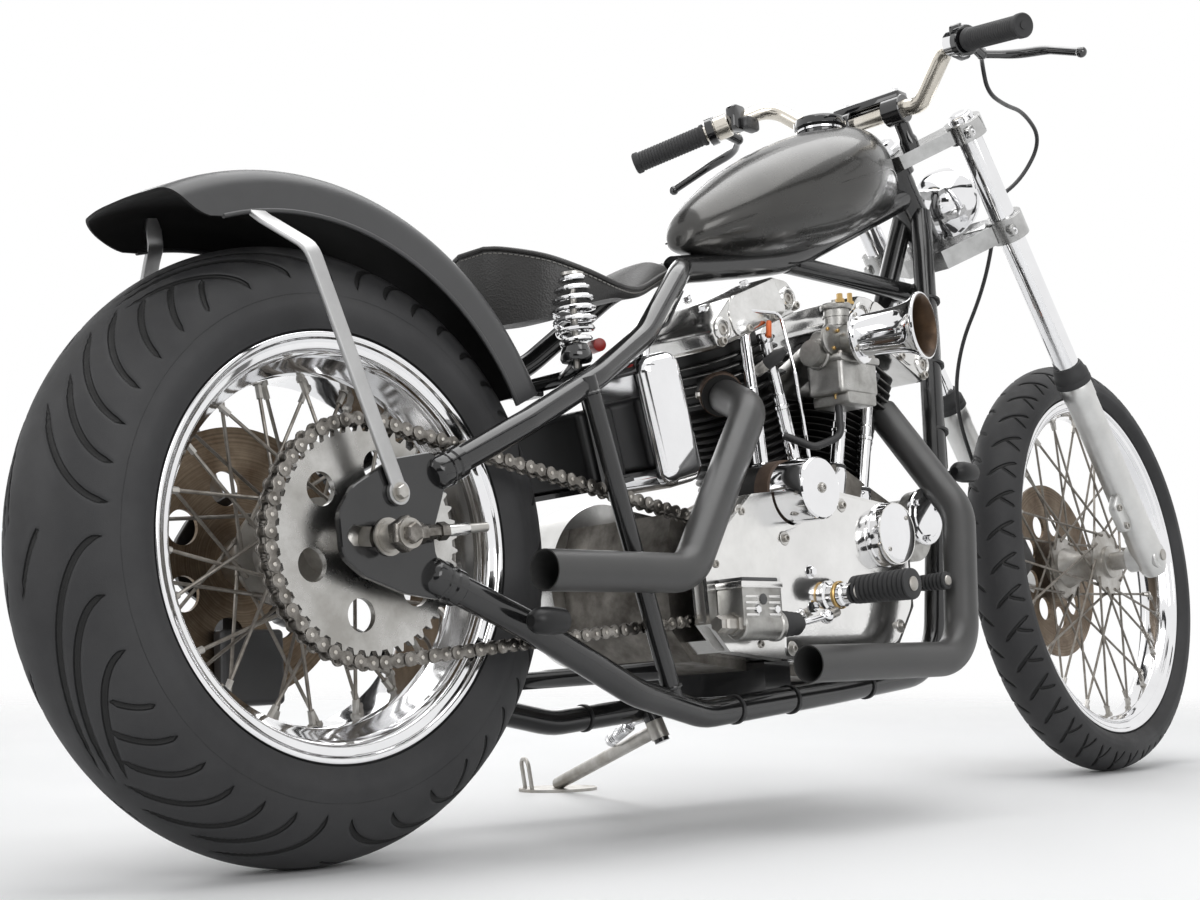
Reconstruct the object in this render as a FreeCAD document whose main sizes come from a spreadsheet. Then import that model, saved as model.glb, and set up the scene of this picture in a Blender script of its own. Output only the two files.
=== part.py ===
"""Chopper motorcycle: rigid tube frame, V-twin engine, wire wheels and an open roller chain.

Bike frame: +X forward, +Y left, +Z up, under the rear axle, as if the motorcycle stood upright.
Fork frame: at the front axle, +Z up along the fork legs, +X ahead of them.
At the end every piece is leaned onto the side stand, and the origin moves to the bottom centre.
"""
import FreeCAD, Part
import math
import os
import re
import types
import Sketcher
from FreeCAD import Placement, Rotation, Vector

# Driving dimensions in millimetres and degrees
SIZES = dict(
    wheelbase=1626.7,
    neck_back=438.7,
    rake=35.0,
    fork_offset=51.2,
    lean=5.0,
    steer_turn=3.44,
    rear_axle_z=323.0,
    rear_tyre_r=319.0,
    rear_crown=80.0,
    rear_tread_half=77.0,
    rear_rim_half=76.0,
    rear_flange_r=219.0,
    rear_seat_r=203.0,
    rear_well_r=184.0,
    front_axle_z=342.0,
    front_tyre_r=339.0,
    front_crown=46.0,
    front_tread_half=43.0,
    front_rim_half=32.0,
    front_flange_r=281.0,
    front_seat_r=267.0,
    front_well_r=256.0,
    rim_wall=4.0,
    tyre_wall=9.0,
    spoke_r=2.2,
    spoke_count=40.0,
    axle_r=9.5,
    hub_barrel_r=27.0,
    hub_flange_r=52.0,
    hub_half=38.0,
    disc_r=146.0,
    disc_thick=5.0,
    rear_disc_y=104.0,
    front_disc_y=62.0,
    chain_pitch=15.875,
    sprocket_teeth=48.0,
    drive_teeth=21.0,
    chain_y=-112.0,
    sprocket_thick=7.0,
    roller_r=5.08,
    link_half_high=7.5,
    link_half_wide=8.9,
    plate_step=2.3,
    plate_y=140.0,
    plate_thick=8.0,
    rail_r=16.0,
    stay_r=14.3,
    post_r=11.0,
    post_y=136.0,
    backbone_r=19.0,
    strut_r=14.3,
    neck_r=27.0,
    rail_half=120.0,
    rail_z=152.0,
    crank_x=816.0,
    crank_z=285.0,
    drive_x=545.0,
    drive_z=302.0,
    case_half=92.0,
    bank=22.5,
    barrel_r=58.0,
    fin_r=74.0,
    fin_thick=3.0,
    fin_pitch=10.0,
    barrel_from=156.0,
    barrel_to=286.0,
    head_to=362.0,
    rocker_to=418.0,
    cover_out=150.0,
    starter_x=641.0,
    starter_z=398.0,
    starter_r=39.0,
    pipe_r=22.3,
    pipe_wall=1.6,
    fork_half=112.4,
    fork_tube_r=19.5,
    slider_r=25.5,
    slider_top=330.0,
    lower_tree=612.0,
    upper_tree=779.0,
    tree_thick=30.0,
    bar_r=12.7,
    bar_half=336.0,
    bar_back=526.7,
    bar_z=1012.0,
    grip_r=17.0,
    grip_long=115.0,
    fender_r=355.6,
    fender_half=93.0,
    fender_thick=3.0,
    fender_drop=48.9,
    fender_corner=34.0,
    fender_front_x=279.9,
    fender_front_z=503.6,
    fender_round=68.0,
    fender_front=26.0,
    fender_rear=123.0,
    stand_r=9.0,
    hose_r=3.2,
    gap=0.3,
)

doc = FreeCAD.newDocument("chopper_motorcycle")
sheet = doc.addObject("Spreadsheet::Sheet", "sizes")
for row, (alias, number) in enumerate(SIZES.items(), start=1):
    sheet.set(f"A{row}", str(number))
    sheet.setAlias(f"A{row}", alias)
doc.recompute()
d = types.SimpleNamespace(**{alias: float(sheet.get(alias)) for alias in SIZES})

X = Vector(1, 0, 0)
Y = Vector(0, 1, 0)
Z = Vector(0, 0, 1)
RAKE = math.radians(d.rake)
UP_FORK = Vector(-math.sin(RAKE), 0, math.cos(RAKE))
REAR_AXLE = Vector(0, 0, d.rear_axle_z)
FRONT_AXLE = Vector(d.wheelbase, 0, d.front_axle_z)
BAR_X = d.wheelbase - d.bar_back
STEER_POINT = FRONT_AXLE - Vector(math.cos(RAKE), 0, math.sin(RAKE)) * d.fork_offset
BIKE = Placement()
FORK = Placement(FRONT_AXLE, Rotation(Y, -d.rake))
AT_REAR = Placement(REAR_AXLE, Rotation())


def about(point, axis, degrees):
    """A turn about an axis through a point."""
    return Placement(point, Rotation()) * Placement(Vector(), Rotation(axis, degrees)) \
        * Placement(-point, Rotation())


STEER = about(STEER_POINT, UP_FORK, d.steer_turn)


def lowest(placement, tyre_r, crown):
    """Height of the lowest point of a wheel whose tread is a round of radius crown."""
    centre = placement.multVec(Vector())
    across = placement.Rotation.multVec(Y)
    return centre.z - (tyre_r - crown) * math.sqrt(1 - across.z ** 2) - crown


def standing():
    """Leans the motorcycle to the left and pitches it until both tyres touch the ground."""
    place = about(REAR_AXLE, X, -d.lean)
    for _ in range(3):
        low = lowest(place * AT_REAR, d.rear_tyre_r, d.rear_crown)
        place = Placement(Vector(0, 0, -low), Rotation()) * place
        low = lowest(place * STEER * FORK, d.front_tyre_r, d.front_crown)
        place = about(Vector(), Y, math.degrees(low / d.wheelbase)) * place
    return place


WORLD = standing()
pieces = []


def keep(piece, label, placement=BIKE):
    """Names a finished sub-part and stands it in its place."""
    piece.Label = label
    piece.Placement = WORLD * placement
    pieces.append(piece)
    return piece


def shaped(label, shape, placement=BIKE):
    """A sub-part whose shape is worked out by Part's own functions."""
    piece = doc.addObject("Part::Feature", label)
    piece.Shape = shape
    return keep(piece, label, placement * shape.Placement)


def bound(text):
    """Turns the plain names in an expression into references to the sheet."""
    return re.sub(r"[a-z]\w*", lambda word: "sizes." + word[0] if word[0] in SIZES else word[0], text)


def nearest_end(sketch, index, place):
    """Number, 1 or 2, of the end of an edge that lies at a place."""
    return 1 if (sketch.getPoint(index, 1) - place).Length < 1e-3 else 2


def outline_sketch(body, plane_role, points):
    """Closed sketch through points given as pairs of sheet expressions.

    A third entry is the radius of an arc to the next point; a minus sign bends it the other way.
    """
    sketch = body.newObject("Sketcher::SketchObject", body.Name + "_outline")
    plane = next(face for face in body.Origin.OriginFeatures if face.Role == plane_role)
    sketch.AttachmentSupport = [(plane, "")]
    sketch.MapMode = "FlatFace"
    places = [Vector(sheet.evalExpression(p[0]), sheet.evalExpression(p[1]), 0) for p in points]
    count = len(points)
    for index, point in enumerate(points):
        start = places[index]
        end = places[(index + 1) % count]
        if len(point) == 2:
            sketch.addGeometry(Part.LineSegment(start, end))
            continue
        radius = float(sheet.evalExpression(point[2]))
        chord = end - start
        side = Vector(-chord.y, chord.x, 0).normalize() * math.copysign(1, radius)
        drop = math.sqrt(radius ** 2 - (chord.Length / 2) ** 2)
        centre = (start + end) / 2 + side * drop
        mid = centre - side * abs(radius)
        sketch.addGeometry(Part.Arc(start, mid, end))
    for index, point in enumerate(points):
        follow = (index + 1) % count
        arc = len(point) == 3
        vertex = nearest_end(sketch, index, places[index])
        sketch.addConstraint(Sketcher.Constraint(
            "Coincident", index, 3 - vertex, follow, nearest_end(sketch, follow, places[follow])))
        for kind, value, text in (("DistanceX", places[index].x, point[0]),
                                  ("DistanceY", places[index].y, point[1])):
            number = sketch.addConstraint(Sketcher.Constraint(kind, -1, 1, index, vertex, value))
            sketch.setExpression(f"Constraints[{number}]", bound(text))
        if arc:
            radius = abs(float(sheet.evalExpression(point[2])))
            number = sketch.addConstraint(Sketcher.Constraint("Radius", index, radius))
            sketch.setExpression(f"Constraints[{number}]", "abs(" + bound(point[2]) + ")")
    return sketch


def turned(label, points, placement, angle=360.0):
    """Body turned about its own Y axis from (across, radius) points."""
    body = doc.addObject("PartDesign::Body", label)
    sketch = outline_sketch(body, "YZ_Plane", points)
    turn = body.newObject("PartDesign::Revolution", label + "_turn")
    turn.Profile = sketch
    turn.ReferenceAxis = (sketch, ["H_Axis"])
    turn.Angle = angle
    doc.recompute()
    return keep(body, label, placement)


def rod(start, end, radius):
    """Straight round bar between two points."""
    along = end - start
    return Part.makeCylinder(radius, along.Length, start, along)


def bent_path(points, radius):
    """Straight runs joined by tangent arcs, as a bender makes a tube."""
    edges = []
    last = points[0]
    for before, corner, after in zip(points, points[1:], points[2:]):
        back = (before - corner).normalize()
        ahead = (after - corner).normalize()
        half = back.getAngle(ahead) / 2
        room = 0.45 * min((before - corner).Length, (after - corner).Length)
        setback = min(radius / math.tan(half), room)
        arc_r = setback * math.tan(half)
        inward = (back + ahead).normalize()
        mid = corner + inward * (arc_r / math.sin(half) - arc_r)
        start = corner + back * setback
        end = corner + ahead * setback
        edges.append(Part.makeLine(last, start))
        edges.append(Part.Arc(start, mid, end).toShape())
        last = end
    edges.append(Part.makeLine(last, points[-1]))
    return Part.Wire(edges)


def tube(points, radius, bend):
    """Round bar bent along a path."""
    path = bent_path(points, bend)
    ring = Part.Wire(Part.makeCircle(radius, points[0], points[1] - points[0]))
    return path.makePipeShell([ring], True, False)


def mirrored(shape):
    """The same shape on the other side of the middle plane."""
    return shape.mirror(Vector(), Y)


def both_sides(shape):
    """A shape and its mirror image as two loose solids."""
    return Part.makeCompound([shape, mirrored(shape)])


def slab(points, y_from, y_to):
    """Flat plate in the XZ plane from (x, z) corners, between two Y stations."""
    corners = [Vector(x, y_from, z) for x, z in points]
    face = Part.Face(Part.makePolygon(corners + corners[:1]))
    return face.extrude(Y * (y_to - y_from))


def box(x_from, x_to, y_from, y_to, z_from, z_to, round_r=0.0):
    """Upright block with its edges rounded."""
    block = Part.makeBox(x_to - x_from, y_to - y_from, z_to - z_from, Vector(x_from, y_from, z_from))
    return block.makeFillet(round_r, block.Edges) if round_r else block


def loft(sections):
    """Smooth solid through closed wires."""
    return Part.makeLoft(sections, True, False)


def oval(centre, half_wide, half_high):
    """Ellipse across the motorcycle, as a section at one X station."""
    if half_wide >= half_high:
        ellipse = Part.Ellipse(centre + Y * half_wide, centre + Z * half_high, centre)
    else:
        ellipse = Part.Ellipse(centre + Z * half_high, centre + Y * half_wide, centre)
    return Part.Wire(ellipse.toShape())


# Wheels
def tyre(label, side, placement):
    """Hollow tyre: round tread, side walls and beads seated in the rim; side is front or rear."""
    crown_z = f"{side}_tyre_r - {side}_crown"
    shoulder = f"{crown_z} + sqrt({side}_crown ^ 2 - {side}_tread_half ^ 2)"
    bead = f"{side}_rim_half - rim_wall - gap"
    foot = f"{side}_seat_r + gap"
    lip = f"{side}_flange_r + 2 * gap"
    half = f"{side}_tread_half"
    points = [
        (f"-({bead})", foot),
        (f"-({bead})", lip),
        (f"-({side}_rim_half + gap)", lip),
        (f"-{half}", shoulder, f"-{side}_crown"),
        (half, shoulder),
        (f"{side}_rim_half + gap", lip),
        (bead, lip),
        (bead, foot),
        (f"{bead} - tyre_wall", foot),
        (f"{half} - tyre_wall", shoulder),
        (f"{half} / 2", f"{side}_tyre_r - 1.6 * tyre_wall"),
        (f"-{half} / 2", f"{side}_tyre_r - 1.6 * tyre_wall"),
        (f"-({half} - tyre_wall)", shoulder),
        (f"-({bead} - tyre_wall)", foot),
    ]
    return turned(label, points, placement)


def rim(label, side, placement):
    """Chromed steel rim with a drop centre."""
    half = f"{side}_rim_half"
    flange = f"{side}_flange_r"
    seat = f"{side}_seat_r"
    well = f"{side}_well_r"
    points = [
        (f"-{half}", f"{seat} - rim_wall"),
        (f"-{half}", flange),
        (f"-({half} - rim_wall)", flange),
        (f"-({half} - rim_wall)", seat),
        (f"-0.66 * {half}", seat),
        (f"-0.4 * {half}", well),
        (f"0.4 * {half}", well),
        (f"0.66 * {half}", seat),
        (f"{half} - rim_wall", seat),
        (f"{half} - rim_wall", flange),
        (half, flange),
        (half, f"{seat} - rim_wall"),
        (f"0.72 * {half}", f"{seat} - rim_wall"),
        (f"0.45 * {half}", f"{well} - rim_wall"),
        (f"-0.45 * {half}", f"{well} - rim_wall"),
        (f"-0.72 * {half}", f"{seat} - rim_wall"),
    ]
    return turned(label, points, placement)


def spokes(rim_r, rim_half):
    """Laced spokes: each leaves its hub flange along a tangent and crosses its neighbours."""
    laced = []
    count = int(d.spoke_count)
    for index in range(count):
        side = 1 if index % 2 else -1
        lead = 1 if index % 4 < 2 else -1
        angle = 2 * math.pi * index / count
        twist = lead * math.radians(55)
        hub = Vector(math.cos(angle + twist) * (d.hub_flange_r - 5), side * (d.hub_half - lead * 3),
                     math.sin(angle + twist) * (d.hub_flange_r - 5))
        nipple = Vector(math.cos(angle) * rim_r, side * rim_half, math.sin(angle) * rim_r)
        along = nipple - hub
        corner = Vector(along.y, along.z, along.x).cross(along).normalize() * d.spoke_r
        turns = [Rotation(along, 60 * k).multVec(corner) + hub for k in range(7)]
        laced.append(Part.Face(Part.makePolygon(turns)).extrude(along))
    return laced


def hub(label, side, rim_half, placement, right_end, left_end):
    """Hub barrel with two drilled flanges, its carriers and the laced spokes in one."""
    bore = d.axle_r + d.gap
    barrel = rod(Y * right_end, Y * left_end, d.hub_barrel_r)
    flanges = [rod(Y * y, Y * (y + 5), d.hub_flange_r) for y in (-d.hub_half - 2.5, d.hub_half - 2.5)]
    rim_r = side - d.rim_wall - 4 * d.gap
    shape = barrel.multiFuse(flanges + spokes(rim_r, rim_half))
    shape = shape.cut(rod(Y * (right_end - 1), Y * (left_end + 1), bore))
    return shaped(label, shape, placement)


def disc(label, y, radius, holes, placement):
    """Brake disc with a ring of round holes and a bolted centre."""
    plate = rod(Y * (y - d.disc_thick / 2), Y * (y + d.disc_thick / 2), radius)
    plate = plate.cut(rod(Y * (y - d.disc_thick), Y * (y + d.disc_thick), d.hub_barrel_r + d.gap))
    for index in range(holes):
        angle = 2 * math.pi * index / holes
        centre = Vector(math.cos(angle), 0, math.sin(angle)) * (radius * 0.55)
        hole = rod(centre + Y * (y - d.disc_thick), centre + Y * (y + d.disc_thick), radius * 0.13)
        plate = plate.cut(hole)
    return shaped(label, plate, placement)


def pitch_radius(teeth):
    """Pitch radius of a chain sprocket."""
    return d.chain_pitch / (2 * math.sin(math.pi / teeth))


def sprocket(label, placement):
    """Rear sprocket: a tooth between every two rollers, six large windows and a bored centre."""
    teeth = int(d.sprocket_teeth)
    pitch_r = pitch_radius(teeth)
    tip = pitch_r - d.roller_r - d.gap
    root = tip - 7
    step = 2 * math.pi / teeth
    corners = []
    for index in range(teeth):
        for share, radius in ((-0.22, root), (0.22, root), (0.42, tip), (0.58, tip)):
            angle = step * (index + share)
            corners.append((math.cos(angle) * radius, math.sin(angle) * radius))
    half = d.sprocket_thick / 2
    plate = slab(corners, d.chain_y - half, d.chain_y + half)
    for index in range(6):
        angle = math.radians(60 * index + 20)
        centre = Vector(math.cos(angle), 0, math.sin(angle)) * (pitch_r * 0.62)
        plate = plate.cut(rod(centre + Y * (d.chain_y - 9), centre + Y * (d.chain_y + 9), 17))
    plate = plate.cut(rod(Y * (d.chain_y - 9), Y * (d.chain_y + 9), d.hub_barrel_r + d.gap))
    return shaped(label, plate, placement)


tyre("rear_tyre", "rear", AT_REAR)
rim("rear_rim", "rear", AT_REAR)
hub("rear_hub", d.rear_well_r, 14, AT_REAR, d.chain_y - 6, d.rear_disc_y + 6)
disc("rear_disc", d.rear_disc_y, d.disc_r, 7, AT_REAR)
sprocket("sprocket", AT_REAR)
AT_FRONT = STEER * FORK
tyre("front_tyre", "front", AT_FRONT)
rim("front_rim", "front", AT_FRONT)
hub("front_hub", d.front_well_r, 8, AT_FRONT, -d.hub_half - 12, d.front_disc_y + 6)
disc("front_disc", d.front_disc_y, d.disc_r, 9, AT_FRONT)


# Chain
def chain():
    """One fixed loop of alternate wide and narrow links round both sprockets."""
    rear = Vector(0, 0, d.rear_axle_z)
    drive = Vector(d.drive_x, 0, d.drive_z)
    big = pitch_radius(d.sprocket_teeth)
    small = pitch_radius(d.drive_teeth)
    line = drive - rear
    reach = line.Length
    tilt = math.atan2(line.z, line.x)
    wrap = math.asin((big - small) / reach)
    run = reach * math.cos(wrap)
    top = math.pi / 2 - wrap
    small_arc = 2 * top * small
    big_arc = (2 * math.pi - 2 * top) * big
    total = 2 * run + small_arc + big_arc
    links = 2 * round(total / d.chain_pitch / 2)

    def pin(length):
        """Point on the loop at a length from the start of the upper run."""
        length %= total
        if length < run:
            angle = top
            slope = tilt - wrap
            start = rear + Vector(math.cos(tilt + angle), 0, math.sin(tilt + angle)) * big
            return start + Vector(math.cos(slope), 0, math.sin(slope)) * length
        length -= run
        if length < small_arc:
            angle = tilt + top - length / small
            return drive + Vector(math.cos(angle), 0, math.sin(angle)) * small
        length -= small_arc
        if length < run:
            angle = -top
            slope = tilt + wrap + math.pi
            start = drive + Vector(math.cos(tilt + angle), 0, math.sin(tilt + angle)) * small
            return start + Vector(math.cos(slope), 0, math.sin(slope)) * length
        length -= run
        angle = tilt - top - length / big
        return rear + Vector(math.cos(angle), 0, math.sin(angle)) * big

    solids = []
    for index in range(links):
        start = pin(total * index / links)
        end = pin(total * (index + 1) / links)
        along = (end - start).normalize()
        above = Vector(-along.z, 0, along.x) * d.link_half_high
        outer = index % 2
        over = along * (d.link_half_high * (0.9 if outer else 0.5))
        half = d.link_half_wide if outer else d.link_half_wide - d.plate_step
        ends = [start - over, start - over * 0.4 + above, end + over * 0.4 + above, end + over,
                end + over * 0.4 - above, start - over * 0.4 - above]
        solids.append(slab([(p.x, p.z) for p in ends], d.chain_y - half, d.chain_y + half))
    loop = solids[0].multiFuse(solids[1:])
    groove = d.sprocket_thick / 2 + 1.3
    for centre, radius in ((rear, big), (drive, small)):
        room = rod(centre + Y * (d.chain_y - groove), centre + Y * (d.chain_y + groove),
                   radius - d.roller_r)
        loop = loop.cut(room)
    return loop


shaped("drive_chain", chain())


# Frame
NECK_X = d.wheelbase - d.neck_back


def rail_points(side):
    """Lower rail and downtube of one side, from the axle plate to the neck."""
    return [
        Vector(56, side * d.plate_y, 287),
        Vector(185, side * (d.plate_y + 1), 237),
        Vector(345, side * (d.plate_y + 1), 162),
        Vector(475, side * (d.rail_half + 6), 133),
        Vector(728, side * d.rail_half, d.rail_z),
        Vector(NECK_X - 220, side * d.rail_half, d.rail_z + 22),
        Vector(NECK_X - 128, side * 88, 440),
        Vector(NECK_X, side * 16, 874),
    ]


def stay_points(side):
    """Upper stay of one side, from the axle plate to the seat end of the backbone."""
    return [
        Vector(68, side * d.plate_y, 389),
        Vector(200, side * (d.plate_y - 1), 452),
        Vector(330, side * (d.plate_y - 14), 518),
        Vector(443, side * 100, 583),
        Vector(567, side * 56, 689),
        Vector(618, side * 15, 707),
    ]


def stem_point(along):
    """Point of the steering axis at a distance along the fork."""
    return FORK.multVec(Vector(-d.fork_offset, 0, along))


def neck():
    """Steering head tube with its bearing cups, bored for the stem."""
    low = stem_point(d.lower_tree + d.tree_thick / 2 + d.gap)
    high = stem_point(d.upper_tree - d.tree_thick / 2 + 1)
    cup = UP_FORK * 12
    shell = rod(low, high, d.neck_r - 3)
    shell = shell.multiFuse([rod(low, low + cup, d.neck_r + 3), rod(high - cup, high, d.neck_r + 3)])
    return shell.cut(rod(low - cup, high + cup, d.neck_r - 9))


def spine_points(tail=0.0, nose=0.0):
    """Path of the top tube, drawn out at either end by a length along X."""
    return [Vector(618 - tail, 0, 708 - 0.2 * tail), Vector(860, 0, 756),
            Vector(NECK_X - 20 + nose, 0, 900 + 0.4675 * nose)]


def backbone():
    """Top tube under the tank and the strut from it to a cross tube between the downtubes."""
    top = tube(spine_points(), d.backbone_r, 400)
    crossing = Vector(NECK_X - 29, 0, 749)
    strut = rod(Vector(860, 0, 752), crossing, d.strut_r)
    cross = rod(crossing - Y * 36, crossing + Y * 36, d.strut_r - 3)
    return top.multiFuse([strut, cross])


neck_shape = neck()
neck_room = rod(stem_point(d.lower_tree), stem_point(d.upper_tree), d.neck_r - 3.2)
spine = backbone().cut(neck_room)
frame_head = neck_shape.fuse(spine)
rails = {}
STAND_PIVOT = WORLD.multVec(Vector(639, 96, 117))
STAND_FOOT = Vector(731, 353, 0)
STAND_FOLDED = WORLD.Rotation.multVec(Vector(-0.975, -0.15, -0.1))
STAND_AXIS = (STAND_FOOT - STAND_PIVOT).cross(STAND_FOLDED).normalize()


def stand_lug():
    """Boss under the left rail with the bolt that the side stand turns on."""
    boss = rod(STAND_PIVOT + STAND_AXIS * (12 + d.gap), STAND_PIVOT + STAND_AXIS * 34, 12)
    bolt = rod(STAND_PIVOT - STAND_AXIS * 17, STAND_PIVOT + STAND_AXIS * 20, 6)
    nut = rod(STAND_PIVOT - STAND_AXIS * 17, STAND_PIVOT - STAND_AXIS * (12 + d.gap), 10)
    lug = boss.multiFuse([bolt, nut])
    lug.Placement = WORLD.inverse() * lug.Placement
    return lug


for side, name in ((1, "left"), (-1, "right")):
    rail = tube(rail_points(side), d.rail_r, 110).cut(neck_room)
    if name == "right":
        rail = rail.cut(rails["left"])
    if name == "left":
        rail = rail.fuse(stand_lug())
    rails[name] = rail
    shaped(f"cradle_{name}", rail)
    frame_head = frame_head.cut(rail)
shaped("backbone", frame_head)
stays = {}
for side, name in ((1, "left"), (-1, "right")):
    stay = tube(stay_points(side), d.stay_r, 150).cut(frame_head)
    if name == "right":
        stay = stay.cut(stays["left"])
    stays[name] = stay
    shaped(f"rear_stay_{name}", stay)


FENDER_FRONT = math.radians(d.fender_front)
FENDER_CENTRE = Vector(d.fender_front_x - d.fender_r * math.cos(FENDER_FRONT), 0,
                       d.fender_front_z - d.fender_r * math.sin(FENDER_FRONT))
fender_room = rod(FENDER_CENTRE - Y * 20, FENDER_CENTRE + Y * 20, d.fender_r + d.gap)


def seat_posts():
    """Two posts between the lower rails and the stays, tied by two cross tubes."""
    posts = [rod(Vector(415, side * d.post_y, 150), Vector(301, side * d.post_y, 513), d.post_r)
             for side in (1, -1)]
    ties = [rod(Vector(404, -d.post_y, 186), Vector(404, d.post_y, 186), d.post_r),
            rod(Vector(352, -112, 530), Vector(352, 112, 530), d.post_r - 2)]
    lean_back = about(Vector(362, 0, 400), Y, -14)
    tray = [Part.makeBox(64, 172, 6, Vector(361, -86, 400 - 6 - d.gap))]
    tray += [Part.makeBox(28, 4, 133, Vector(372, y, 394 - d.gap)) for y in (-84.3, 80.3)]
    for plate in tray:
        plate.Placement = lean_back * plate.Placement
    tab = box(262, 352, -16, 16, 514, 524).cut(fender_room)
    shape = posts[0].multiFuse(posts[1:] + ties + tray + [tab])
    return shape.cut(rails["left"]).cut(rails["right"]).cut(stays["left"]).cut(stays["right"])


def axle_plate(side):
    """Flat plate that joins stay, rail and axle on one side, with a slot for the axle."""
    corners = [(-59, 345), (-40, 372), (12, 402), (62, 412), (84, 392), (66, 345), (60, 330), (62, 306),
               (84, 284), (66, 262), (20, 268), (-30, 284), (-56, 302)]
    inner = side * (d.plate_y - d.plate_thick / 2)
    outer = side * (d.plate_y + d.plate_thick / 2)
    plate = slab(corners, min(inner, outer), max(inner, outer))
    slot = d.axle_r + d.gap
    opening = box(-41, 0, min(inner, outer) - 1, max(inner, outer) + 1, d.rear_axle_z - slot,
                  d.rear_axle_z + slot)
    opening = opening.fuse(rod(Vector(0, inner - side * 5, d.rear_axle_z),
                               Vector(0, outer + side * 5, d.rear_axle_z), slot))
    name = "left" if side > 0 else "right"
    return plate.cut(opening).cut(rails[name]).cut(stays[name])


shaped("seat_posts", seat_posts())
shaped("axle_plate_left", axle_plate(1))
shaped("axle_plate_right", axle_plate(-1))


def rear_axle():
    """Rear axle with the spacers that hold the hub between the plates, nuts and chain adjusters."""
    shape = rod(REAR_AXLE + Y * -182, REAR_AXLE + Y * 172, d.axle_r)
    collars = [(-180, -166, 15), (-165, -145, 13)]
    inner = d.plate_y - d.plate_thick / 2 - d.gap
    collars += [(-inner, d.chain_y - 6 - d.gap, 16), (d.rear_disc_y + 6 + d.gap, inner, 16)]
    collars += [(145, 165, 15)]
    for start, end, radius in collars:
        shape = shape.fuse(rod(REAR_AXLE + Y * start, REAR_AXLE + Y * end, radius))
    for side in (1, -1):
        screw = rod(Vector(0, side * 155, d.rear_axle_z), Vector(121, side * 155, 336), 5)
        shape = shape.fuse(screw)
    return shape


shaped("rear_axle", rear_axle())


# Engine
def bank_point(side, along, across=0.0, y=0.0):
    """Point on a cylinder's axis plane: side 1 is the front cylinder, -1 the rear one."""
    tilt = math.radians(side * d.bank)
    return Vector(d.crank_x + along * math.sin(tilt) + across * math.cos(tilt), y,
                  d.crank_z + along * math.cos(tilt) - across * math.sin(tilt))


def crankcase():
    """Crank and gear cases in one, with a deck for each cylinder."""
    corners = [(468, 232), (500, 196), (640, 178), (790, 168), (872, 196), (906, 250), (926, 306),
               (930, 376)]
    decks = [bank_point(1, d.barrel_from, 66), bank_point(1, d.barrel_from, -57),
             bank_point(-1, d.barrel_from, 57), bank_point(-1, d.barrel_from, -66)]
    corners += [(p.x, p.z) for p in decks]
    corners += [(560, 372), (480, 372), (462, 320)]
    half = d.case_half
    block = slab(corners, -half, half - 14)
    return block


def stack(side, start, end, radius):
    """Round column along a cylinder's axis."""
    return rod(bank_point(side, start), bank_point(side, end), radius)


def fin(side, along, radius, flats=14):
    """One cooling fin, drawn with flats."""
    axis = bank_point(side, 1) - bank_point(side, 0)
    centre = bank_point(side, along)
    arm = axis.cross(Y).normalize() * radius
    corners = [Rotation(axis, 360 * (k + 0.5) / flats).multVec(arm) + centre for k in range(flats + 1)]
    return Part.Face(Part.makePolygon(corners)).extrude(axis * d.fin_thick)


def cylinder(side):
    """Barrel with its cooling fins."""
    shape = stack(side, d.barrel_from, d.barrel_to - d.gap, d.barrel_r)
    fins = []
    along = d.barrel_from + 8
    while along < d.barrel_to - 5:
        fins.append(fin(side, along, d.fin_r))
        along += d.fin_pitch
    return shape.multiFuse(fins)


def head(side):
    """Cylinder head with four fins and an exhaust port to the right, away from the other head."""
    shape = stack(side, d.barrel_to, d.head_to - d.gap, d.barrel_r + 6)
    fins = [fin(side, d.barrel_to + 8 + k * 16, d.fin_r + 4, 8) for k in range(4)]
    port_in = bank_point(side, d.barrel_to + 26, side * 30, -10)
    port_out = bank_point(side, d.barrel_to + 14, 53 if side > 0 else -76, -58)
    return shape.multiFuse(fins + [rod(port_in, port_out, d.pipe_r + 5)])


def rocker_box(side):
    """Rocker box: a long cast cover with rounded ends and a round plug at either end of its right face."""
    low = d.head_to
    high = d.rocker_to
    corners = [(low, -98), (low, 86), (low + 20, 92), (high - 12, 84), (high, 58), (high, -46),
               (low + 32, -100)]
    points = []
    for along, across in corners:
        place = bank_point(side, along, -side * across)
        points.append((place.x, place.z))
    body = slab(points, -94, 70)
    plugs = []
    for across in (-80, 70):
        centre = bank_point(side, low + 22, -side * across if side > 0 else across, -94)
        plugs.append(rod(centre, centre - Y * 4, 12))
    return body.multiFuse(plugs)


starter_room = rod(Vector(d.starter_x, -210, d.starter_z), Vector(d.starter_x, -60, d.starter_z),
                   d.starter_r + 2 + d.gap)
generator_room = rod(Vector(956, -120, 366), Vector(956, 90, 366), 43 + d.gap)
case_shape = crankcase().cut(starter_room).cut(generator_room)
shaped("crankcase", case_shape)
barrels = {side: cylinder(side) for side in (1, -1)}
shaped("cylinders", Part.makeCompound(list(barrels.values())))
heads = [head(side).cut(barrels[side]) for side in (1, -1)]
shaped("cylinder_heads", Part.makeCompound(heads))
shaped("rocker_boxes", Part.makeCompound([rocker_box(1), rocker_box(-1)]))


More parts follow.
